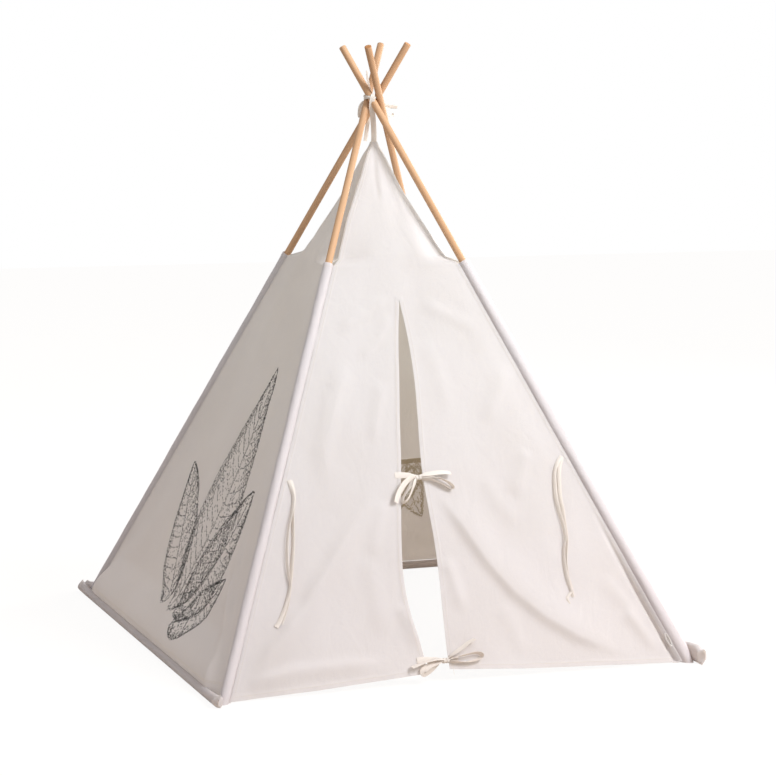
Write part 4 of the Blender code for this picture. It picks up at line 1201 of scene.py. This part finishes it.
def make_lashing():
    """Two turns of tape round the front poles at the crossing, the second over the first, and a bow behind."""
    profile = ((0.0, 1.0), (0.0, 0.5), (0.0003, 0.0), (0.0, -0.5), (0.0, -1.0),
               (0.0009, -0.98), (0.0012, -0.5), (0.0013, 0.0), (0.0012, 0.5), (0.0009, 0.98))
    turn = round_places(120)
    half = LASHING_WIDTH / 4
    for name, rise, tilt, clearance, node in (("lashing_turn_a", 0.0010, 0.0016, 0.0005, "lashing_tape"),
                                              ("lashing_turn_b", 0.0035, -0.0022, 0.0017, None)):
        rings = [[] for _ in turn]
        for push, share in profile:
            heights = CROSSING_HEIGHT + rise + share * half + tilt * np.cos(turn + 0.6)
            outline = wrap_outline(CROSSING_HEIGHT + rise + share * half, clearance + push)
            for ring, spot, height in zip(rings, outline, heights):
                ring.append(np.append(spot, height))
        rings = np.array(rings)[:, ::-1]
        cloth = triples(rings[..., 2], turn[:, None] * 0.02)
        settle(piece(name, loft(name, rings, closed=True, sharp=70, cloth=cloth), TAPE), "cover", node)
    centre = np.array(LASHING_KNOT)
    knot = half_knot("lashing_knot", centre, (np.array((1.0, 0, 0)), np.array((0, 1.0, 0)), UP), -0.0065, 0.0065, 3)
    knot.data.transform(Matrix.Translation(centre) @ Matrix.Diagonal((1, 0.75, 0.95, 1)) @ Matrix.Translation(-centre))
    settle(knot, "cover")
    for name, (route, across) in LASHING_TAILS.items():
        line = smooth_route(route, 5)
        band = settle(tape(name, line, across, LASHING_TIE, (centre, 0.55, 0.016), 0.06), "cover",
                      "lashing_bow")


PEAK_TAPES = {
    "peak_tape_front": route_of(
        0, -5, 12640, -10, -30, 12900, -45, -75, 13200, -85, -125, 13420, -125, -185, 13620, -132, -238, 13770,
        -120, -240, 13880, -85, -195, 13925),
    "peak_tape_back": route_of(
        6, 12, 12640, 2, -10, 12900, -30, -55, 13200, -68, -102, 13420, -105, -160, 13560),
    "peak_tail": route_of(
        -40, -20, 13800, -100, -20, 13954, -141, -20, 14132, -183, -20, 14335, -205, -20, 14520),
}


def make_peak_tape():
    for name, route in PEAK_TAPES.items():
        line = smooth_route(route, 8)
        width = PEAK_TAIL_WIDTH if name == "peak_tail" else PEAK_TAPE_WIDTH
        band = settle(tape(name, line, SIDEWAYS, width, (line[-1], 0.7, 0.02), 0.02), "cover",
                      "peak_tape")


make_ties()
make_tie_backs()
make_lashing()
make_peak_tape()


# The cover's cloth

def make_cover():
    for name, face in FACE.items():
        for sign in (-1, 1):
            mesh = grid_mesh(face, sign, FRONT_CELL if name == "front" else SIDE_CELL)
            for region, faces, data in cut_apart(face, sign, mesh):
                title, node, rest = "cover_" + region.name, name + "_panel", region.body.replace("pole_", "sleeve_")
                if region.name.endswith("peak"):
                    node += "_top"
                if region.name.startswith("door"):
                    title, node, rest = region.name, "door_" + region.body, name + "_panel"
                solid, size, area = cloth_solid(title, faces, data)
                obj = settle(piece(title, solid, CANVAS), region, node)
            bpy.data.meshes.remove(mesh)


def seam_lines(face, sign):
    """The stitched lines of one half: beside its seam, along its hem, and up its side of the slit."""
    z = np.arange(face.bottom + 0.012, PEAK_HEIGHT - 0.01, 0.004)
    xa, xb = face.seam_x(z)
    inset = 0.0085 * np.clip((xb - xa) / 0.12, 0.3, 1)
    yield (xa + inset if sign < 0 else xb - inset), z
    if face.name == "front":
        z = np.arange(FRONT_HEM + 0.010, DOOR_TOP - 0.004, 0.004)
        yield slit_x(sign, z) + sign * 0.0088, z
        low, high = face.seam_x(np.array(FRONT_HEM))
        slit = slit_x(sign, FRONT_HEM) + sign * 0.006
        x = np.arange(low + 0.01, slit, 0.004) if sign < 0 else np.arange(slit, high - 0.01, 0.004)
        yield x, front_bottom(x) + 0.0088
    else:
        low, high = face.seam_x(np.array(face.bottom + 0.012))
        x = np.arange(low + 0.012, 0.0, 0.004) if sign < 0 else np.arange(0.0, high - 0.012, 0.004)
        for rise in (0.0105, 0.0135):
            yield x, np.full_like(x, face.bottom + rise)


def make_stitching():
    for name, face in FACE.items():
        for sign in (-1, 1):
            made, _ = REGIONS[name, sign]
            runs = {}
            for x, z in seam_lines(face, sign):
                points, out = face.surface(x, z), face.facing(x, z)
                chosen, names = choose_regions(face, sign, points)
                start = 0
                for k in range(1, len(points) + 1):
                    if k == len(points) or chosen[k] != chosen[start]:
                        if k - start > 1:
                            runs.setdefault(names[chosen[start]], []).append((points[start:k], out[start:k]))
                        start = k
            for key, lines in runs.items():
                made[key].attach(stitch("stitches_" + made[key].name, lines))


make_cover()
make_stitching()


# Sleeves, poles and ferrules

FIN = 0.0160


def sleeve_outline(pole):
    """Angles and radii round a sleeve: a round tube with a seam standing towards each panel."""
    seams = []
    for other in POLES.values():
        if any({pole.name, other.name} == set(pair) for pair in FACES.values()):
            seams.append(pole.angle_of(pole.seam_direction(other)) % TURN)
    seams.sort()
    half = 0.0006
    angles, radii = [], []
    for start, end in zip(seams, seams[1:] + [seams[0] + TURN]):
        for radius in (FIN, FIN - 0.0015):
            angles.append(start + math.asin(half / radius))
            radii.append(radius)
        first, last = start + math.asin(half / 0.0135), end - math.asin(half / 0.0135)
        count = max(8, round(40 * (last - first) / TURN))
        for k in range(count + 1):
            angle = first + (last - first) * k / count
            near = min(angle - start, end - angle)
            angles.append(angle)
            radii.append(SLEEVE_OUTER + 0.0013 * math.exp(-max(0.0, near - 0.06) / 0.16))
        for radius in (FIN - 0.0015, FIN):
            angles.append(end - math.asin(half / radius))
            radii.append(radius)
    return np.array(angles), np.array(radii), seams


FIN_TUCK, LEAST_Z = 0.0085, 0.0020


def fin_tuck(points, share, angles=None):
    """How far the front right sleeve's front fin is pulled back with the panel."""
    if angles is not None:
        pole = POLES["front_right"]
        at = pole.angle_of(pole.seam_direction(POLES["front_left"]))
        share = share * (np.cos(angles - at) > 0.9)
    return outer(share * tuck_share(points[:, 2]) * FIN_TUCK, FRONT.normal)


def off_floor(points):
    """Points pulled below the floor come back just above it."""
    z = points[:, 2:]
    raised = LEAST_Z * np.exp(np.minimum(z / LEAST_Z, 1) - 1)
    return np.concatenate((points[:, :2], np.where(z < LEAST_Z, raised, z)), 1)


def looser(points, angles, run):
    """The front right sleeve hangs loose on its right, away from both seams."""
    pole = POLES["front_right"]
    right = np.array((1.0, -0.15, 0.0))
    way = unit(right - pole.along * (right @ pole.along))
    amount = 0.0052 + 0.0010 * math.sin(run * 9 + 1.0) + 0.0006 * math.sin(run * 31)
    bulge = np.clip(np.cos(angles - pole.angle_of(way)), 0, 1) ** 2 * amount * smooth(np.array(run / 0.05))
    return outer(bulge, way)


def make_sleeve(pole):
    angles, radii, seams = sleeve_outline(pole)
    phase = draw.uniform(0, TURN, 6)
    tube = np.clip((0.0150 - radii) / 0.0015, 0, 1)
    rings, cloth = [], []

    def start_of(side, out):
        return (GAP - (side * pole.side[2] + out * pole.out[2])) / pole.along[2]

    for share in np.linspace(0, 1, 190):
        run = share * SLEEVE_LENGTH
        wave = (np.sin(2 * angles + 9 * run + phase[0]) + 0.8 * np.sin(3 * angles - 23 * run + phase[1])
                + 0.6 * np.sin(angles + 47 * run + phase[2]) + 0.35 * np.sin(5 * angles + 90 * run + phase[3]))
        hem = 0.0005 * (1 - smooth((SLEEVE_LENGTH - run - 0.012) / 0.003))
        radius = radii + tube * (0.00030 * wave + hem)
        side, out = radius * np.cos(angles), radius * np.sin(angles)
        low = start_of(side, out)
        ring = pole.place(side, out, low + (SLEEVE_LENGTH - low) * share)
        if pole.name == "front_right":
            ring = ring + looser(ring, angles, run) - fin_tuck(ring, np.clip((radii - 0.0132) / 0.0028, 0, 1), angles)
            ring = off_floor(ring)
        rings.append(ring)
        cloth.append(triples(angles * SLEEVE_OUTER, run))
    for share in (1.0, 0.99, 0.5, 0.0105):
        side, out = SLEEVE_BORE * np.cos(angles), SLEEVE_BORE * np.sin(angles)
        rings.append(pole.place(side, out, share * SLEEVE_LENGTH))
        cloth.append(triples(angles * SLEEVE_BORE, share))
    name = "pole_sleeve_" + pole.name
    settle(piece(name, loft(name, rings, sharp=60, cloth=cloth), SLEEVE_CLOTH), pole.body,
           "sleeve_" + pole.name)
    run = np.arange(0.03, SLEEVE_LENGTH - 0.002, 0.004)
    lines = []
    for seam in seams:
        direction = pole.side * math.cos(seam) + pole.out * math.sin(seam)
        square = np.cross(pole.along, direction)
        for way in (-1, 1):
            points = pole.foot + direction * (FIN - 0.0008) + square * way * 0.0006 + outer(run, pole.along)
            if pole.name == "front_right" and direction[0] < -0.5:
                points = off_floor(points - fin_tuck(points, np.full(len(run), 0.93)))
            lines.append((points, np.repeat([square * way], len(run), axis=0)))
    ring = np.linspace(0, TURN, 60)
    keep = [k for k, a in enumerate(ring) if min(abs((a - s + math.pi) % TURN - math.pi) for s in seams) > 0.35]
    for group in np.split(keep, np.flatnonzero(np.diff(keep) > 1) + 1):
        a = ring[group]
        if len(a) > 2:
            out = outer(np.cos(a), pole.side) + outer(np.sin(a), pole.out)
            lines.append((pole.foot + out * (SLEEVE_OUTER + THREAD) + pole.along * (SLEEVE_LENGTH - 0.010), out))
    settle(stitch("sleeve_stitches_" + pole.name, lines), pole.body)


def make_pole(pole):
    top = POLE_LENGTH + (0.011 if pole.name.endswith("left") else 0.0015)
    for part, low, high in (("lower", POLE_START, LOWER_SECTION), ("upper", LOWER_SECTION + GAP, top)):
        angles = round_places(40)
        rings, grain = [], []
        span = np.concatenate(([low, low, low + 0.0004, low + 0.0012], np.linspace(low + 0.02, high - 0.02, 60),
                               [high - 0.0012, high - 0.0004, high, high]))
        sizes = np.concatenate(([0.55, 0.90, 0.965, 1.0], np.ones(60), [1.0, 0.965, 0.90, 0.55]))
        for run, size in zip(span, sizes):
            wobble = 1 + (0.006 * math.sin(run * 23 + pole.foot[0] * 9) + 0.004 * math.sin(run * 51)) * (size == 1.0)
            radius = POLE_RADIUS * size * min(1.0, wobble)
            side, out = radius * np.cos(angles), radius * np.sin(angles)
            rings.append(pole.place(side, out, run))
            grain.append(triples(side + pole.foot[0], out + pole.foot[1], run))
        name = f"beech_{part}_{pole.name}"
        obj = piece(name, loft(name, rings, sharp=35, grain=grain), BEECH, BEECH_END)
        for polygon in obj.data.polygons:
            if abs(Vector(polygon.normal).dot(Vector(pole.along))) > 0.8:
                polygon.material_index = 1
        settle(obj, pole.body, f"pole_{part}_{pole.name}")


for one in POLES.values():
    make_sleeve(one)
    make_pole(one)
    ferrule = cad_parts["ferrule_" + one.name]
    for slot in ferrule.material_slots:
        slot.material = ALUMINIUM


# Hem casings and their rods

HEM_MOUTH, HEM_OVER, HEM_SWELL = 0.0150, 0.0030, 0.24


def make_hem(face):
    """A hem's tube of cloth in two halves, crumpled flat at its open ends, and the rods inside it."""
    half = DEPTH / 2 + HEM_OVERHANG
    if face.name == "back":
        half = FACE["left"].hem_far - HEM_RADIUS - GAP
    centre = face.outward * face.hem_far + UP * face.hem_height
    angles = round_places(32)[::-1]
    phase = draw.uniform(0, TURN, 5)

    def ring(run, radius, ripple=0.0, crumple=1.0, shut=0.88):
        end = crumple * smooth((abs(run) - half - HEM_OVER + HEM_MOUTH) / HEM_MOUTH)
        swell = crumple * HEM_SWELL * smooth((abs(run) - half + 0.08) / 0.08)
        wave = (np.sin(2 * angles + 14 * run + phase[0]) + 0.7 * np.sin(3 * angles - 37 * run + phase[1])
                + 0.5 * np.sin(angles + 71 * run + phase[2]))
        r = radius + ripple * wave * (np.sin(angles) > -0.6) + 0.0007 * end * np.sin(5 * angles + phase[3])
        out, up = r * np.cos(angles) * (1 - shut * end), r * np.sin(angles) * (1 + 0.16 * end + swell)
        lump = crumple * math.exp(-((abs(run) - half + 0.012) / 0.007) ** 2)
        out = out + np.cos(angles) * 0.0016 * lump * (1 + np.sin(3 * angles + phase[4]))
        out = out + 0.0050 * end * np.sin(160 * up + phase[4])
        ragged = end * (0.0022 * np.sin(2 * angles + phase[0]) + 0.0012 * np.sin(3 * angles + phase[1]))
        if face.name == "right":
            raised = 0.0080 + 0.0100 * smooth((run + half - 0.010) / 0.030)
            raised *= smooth((0.17 - run - half) / 0.10)
            up = up + crumple * raised * np.clip(np.sin(angles) * 1.6, 0, 1)
        level = np.maximum(up + 0.0018 * end + HEM_RADIUS * swell, 0.0002 - face.hem_height)
        return (centre + outer(run + math.copysign(1, run) * ragged, face.across)
                + outer(out, face.outward) + outer(level, UP))

    for sign in (-1, 1):
        made, _ = REGIONS[face.name, sign]
        runs = sign * np.concatenate((np.linspace(0, half - 0.016, 90),
                                      np.linspace(half - 0.0145, half + HEM_OVER, 24)))
        rings = np.array([ring(run, HEM_RADIUS - 0.0002, 0.00022) for run in runs]
                         + [ring(run, HEM_RADIUS - HEM_WALL, shut=0.99) for run in runs[::-1]])
        cloth = triples(angles * HEM_RADIUS, np.concatenate((runs, runs[::-1]))[:, None])
        if sign < 0:
            rings = rings[:, ::-1]
        name = f"hem_tube_{face.name}_" + ("left" if sign < 0 else "right")
        settle(piece(name, loft(name, rings, closed=True, sharp=60, cloth=cloth), CANVAS), made["low"],
               "hem_casing_" + face.name)
        rod_half = half - ROD_END - 0.004
        along = sign * np.concatenate(([GAP / 2, GAP / 2 + 0.0006], np.linspace(0.02, rod_half - 0.02, 24),
                                       [rod_half - 0.0006, rod_half]))
        sizes = [0.92, 1.0] + [1.0] * 24 + [1.0, 0.92]
        drop = UP * (HEM_RADIUS - HEM_WALL - HEM_ROD / 2 - GAP)
        rod = np.array([ring(run, HEM_ROD / 2 * size, crumple=0.0) - drop for run, size in zip(along, sizes)])
        grain = triples(HEM_ROD / 2 * np.cos(angles), HEM_ROD / 2 * np.sin(angles), along[:, None])
        if sign < 0:
            rod, grain = rod[:, ::-1], grain[:, ::-1]
        node = f"hem_rod_{face.name}_" + ("a" if sign < 0 else "b")
        settle(piece("beech_" + node, loft("beech_" + node, rod, sharp=35, grain=grain), BEECH), made["low"],
               node)


for one in ("right", "back", "left"):
    make_hem(FACE[one])


# The print: large leaves in stippled dark ink, a plain design of our own

def mark(x, z, heading, length, width):
    """One stroke of the pen: a short lens."""
    c, s = math.cos(heading), math.sin(heading)
    outline = ((-0.5, 0.0), (-0.2, -0.45), (0.25, -0.40), (0.5, 0.0), (0.2, 0.45), (-0.25, 0.40))
    return [(x + c * u * length - s * v * width, z + s * u * length + c * v * width) for u, v in outline]


PRINT_BEHIND = -0.17


class Leaf:
    """A leaf's midrib and edge; t runs along it and s across it, from -1 to 1."""

    def __init__(self, x, z, heading, length, width, bend):
        self.start, self.heading, self.length = np.array((x, z)), math.radians(heading), length
        self.width, self.bend = width, bend

    def at(self, t, s):
        heading = self.heading + self.bend * t
        along = np.array((math.cos(heading), math.sin(heading)))
        half = self.width / 2 * math.sin(math.pi * min(1, max(0, t)) ** 0.78) ** 0.85
        return self.start + along * self.length * t + np.array((-along[1], along[0])) * s * half

    def stroke(self, t, s, ahead_t, ahead_s, pen):
        """A stroke at t, s along the way to another place of the leaf."""
        here, there = self.at(t, s), self.at(t + ahead_t, s + ahead_s)
        heading = math.atan2(*(there - here)[::-1]) + pen.normal(0, 0.25)
        x, z = here + pen.normal(0, 0.0012, 2)
        return mark(x, z, heading, pen.uniform(0.0030, 0.0056), pen.uniform(0.0019, 0.0028))


LEAVES = (
    Leaf(0.030, 0.100, 72, 0.610, 0.270, 0.22),
    Leaf(-0.030, 0.105, 116, 0.400, 0.180, 0.20),
    Leaf(0.080, 0.105, 42, 0.380, 0.190, 0.30),
    Leaf(0.120, 0.085, 16, 0.240, 0.110, 0.35),
)
TWIG_LEAVES = (
    Leaf(-0.105, 0.345, -104, 0.190, 0.080, -0.20),
    Leaf(-0.140, 0.345, -80, 0.170, 0.070, 0.15),
    Leaf(-0.200, 0.345, -96, 0.150, 0.060, -0.15),
    Leaf(-0.045, 0.345, -84, 0.200, 0.075, 0.15),
    Leaf(0.025, 0.345, -100, 0.170, 0.065, -0.15),
    Leaf(0.100, 0.345, -80, 0.185, 0.070, 0.15),
    Leaf(0.170, 0.345, -74, 0.160, 0.065, 0.15),
)


def leaf_marks(leaf, pen):
    steps = int(leaf.length / 0.0045)
    for k in range(steps):
        t = (k + 0.5) / steps
        for s in (-1, 1):
            for row, chance in ((1.0, 1.0), (0.95, 0.9), (0.90, 0.8), (0.84, 0.6), (0.77, 0.45), (0.69, 0.3)):
                if pen.random() < chance:
                    yield leaf.stroke(t, s * row, 0.01, 0.0, pen)
        if t < 0.92:
            for s in (-0.02, 0.02):
                yield leaf.stroke(t, s + pen.normal(0, 0.01), 0.01, 0.0, pen)
    for root in np.arange(0.06, 0.84, 0.030 / leaf.length):
        for side in (-1, 1):
            for s in np.arange(0.08, 0.96, 0.0075 / leaf.width):
                if pen.random() < 0.80:
                    yield leaf.stroke(root + 0.10 * s ** 1.3, side * s, 0.01, side * 0.14, pen)
    for _ in range(int(leaf.length * leaf.width * 26000)):
        t, s = pen.uniform(0.03, 0.97), pen.uniform(-1, 1)
        if pen.random() < 0.08 + 0.60 * abs(s) ** 3 + 0.34 * (s < -0.2):
            yield leaf.stroke(t, s, 0.01, 0.02, pen)


def twig_marks(pen):
    for x in np.arange(-0.23, 0.26, 0.0042):
        for row in range(6):
            z = 0.3465 + 0.0024 * row + 0.0015 * math.sin(x * 30)
            yield mark(x + pen.normal(0, 0.001), z, pen.normal(0, 0.08), 0.0058, 0.0030)


def make_print(face, leaves, shift, label="print_", ink=INK, sunk=0.0, lift=0.00025):
    """Ink on the cloth: thin marks that follow its folds, or sunk to its inside."""
    pen = np.random.default_rng(5)
    marks = [m for leaf in leaves for m in leaf_marks(leaf, pen)]
    if face.name == "back":
        marks += list(twig_marks(pen))
    flat = np.array(marks)
    flat[..., 0] += shift
    count, corners = flat.shape[:2]
    for sign in (-1, 1):
        made, _ = REGIONS[face.name, sign]
        half = flat[flat[..., 0].mean(axis=1) * sign > 0]
        x, z = half[..., 0], half[..., 1]
        points, out = face.surface(x, z), face.facing(x, z)
        cloth = triples(x, z * face.stretch)
        chosen, names = choose_regions(face, sign, points.mean(axis=1))
        for k, key in enumerate(names):
            index = np.flatnonzero(chosen == k)
            if not len(index):
                continue
            p, o, c = points[index], out[index], cloth[index]
            spots = np.concatenate((p + o * (lift - sunk), p - o * (lift + sunk)), axis=1)
            faces = []
            for first in np.arange(len(index)) * corners * 2:
                faces.append([first + j for j in range(corners)])
                faces.append([first + corners + j for j in range(corners - 1, -1, -1)])
                faces.extend((first + (j + 1) % corners, first + j, first + corners + j,
                              first + corners + (j + 1) % corners) for j in range(corners))
            name = label + made[key].name
            mesh = mesh_of(name, spots.reshape(-1, 3), faces, False,
                           cloth=np.concatenate((c, c), axis=1).reshape(-1, 3))
            settle(piece(name, mesh, ink), made[key])


make_print(FACE["left"], LEAVES, 0.03)
make_print(FACE["back"], TWIG_LEAVES, PRINT_BEHIND)
make_print(FACE["back"], TWIG_LEAVES, PRINT_BEHIND, "soaked_print_", INK_SOAKED, FABRIC)


# The tag: a narrow loop of tape standing in the front right seam

def make_tag():
    middle = FRONT.surface(np.array(0.5540), np.array(0.054))
    seam = unit(POLES["front_right"].along + 0.10 * UP)
    side = unit(np.cross(FRONT.normal, seam))
    turn = round_places(48)
    line = (middle + FRONT.normal * 0.0070 + outer(np.cos(turn) * 0.0175, seam)
            + outer(np.sin(turn) * 0.0038, side))
    outwards = unit(outer(np.cos(turn) * 0.18, seam) + outer(np.sin(turn), side))
    profile = ((-0.0040, 0.0), (-0.0038, 0.0005), (0.0038, 0.0005),
               (0.0040, 0.0), (0.0038, -0.0005), (-0.0038, -0.0005))
    rings = np.stack([line + FRONT.normal * a + outwards * b for a, b in profile], axis=1)
    cloth = triples([a for a, _ in profile], turn[:, None] * 0.008)
    obj = piece("side_tag", loft("side_tag", rings[:, ::-1], closed=True, sharp=70, cloth=cloth[:, ::-1]), LABEL)
    settle(obj, region_at(FRONT, middle), "tag")


make_tag()


# Studio: a pale floor, a white surround and soft light from the front right

AMBIENT = 0.65
# Each lamp: its place, how wide it is, and its power
LAMPS = {"key": ((2.6, -3.8, 4.2), 2.4, 330.0), "fill": ((5.0, 1.6, 1.8), 2.2, 230.0)}
FLOOR_GLOW, FLOOR_WHITE = 0.80, 1.14


def make_studio():
    f = Finish("studio_floor")
    seen = f.node("LightPath", out="Is Camera Ray")
    kinds = seen.socket.node.outputs
    through = Value(f, kinds["Is Glossy Ray"]).maths("MAXIMUM", Value(f, kinds["Is Transmission Ray"]))
    paint = f.node("BsdfDiffuse", {"Color": (0.58, 0.51, 0.45, 1)})
    white = f.node("Emission", {"Color": (1, 1, 1, 1), "Strength": FLOOR_WHITE})
    floor_finish = f.done(f.node("MixShader", {0: seen.maths("MAXIMUM", through) * FLOOR_GLOW, 1: paint, 2: white}))
    mesh = bpy.data.meshes.new("studio_floor")
    mesh.from_pydata([(-12, -12, 0), (12, -12, 0), (12, 12, 0), (-12, 12, 0)], [], [(0, 1, 2, 3)])
    piece("studio_floor", mesh, floor_finish)
    sky = Finish("studio", bpy.data.worlds)
    seen = sky.node("LightPath", out="Is Camera Ray")
    seen = seen.maths("MAXIMUM", Value(sky, seen.socket.node.outputs["Is Glossy Ray"]))
    level = sky.node("MapRange", {0: seen, 3: AMBIENT, 4: 1.0})
    colour = sky.mix(seen, (1.0, 0.99, 0.985, 1.0), (1, 1, 1, 1))
    scene.world = sky.done(sky.node("Background", {0: colour, 1: level}), "OutputWorld")
    for name, (place, size, power) in LAMPS.items():
        lamp = bpy.data.lights.new(name, "AREA")
        lamp.shape, lamp.size, lamp.energy = "DISK", size, power
        holder = shown(name, lamp)
        holder.location = place
        holder.rotation_euler = (Vector(place) - Vector((0, -0.3, 0.6))).to_track_quat("Z", "Y").to_euler()


make_studio()
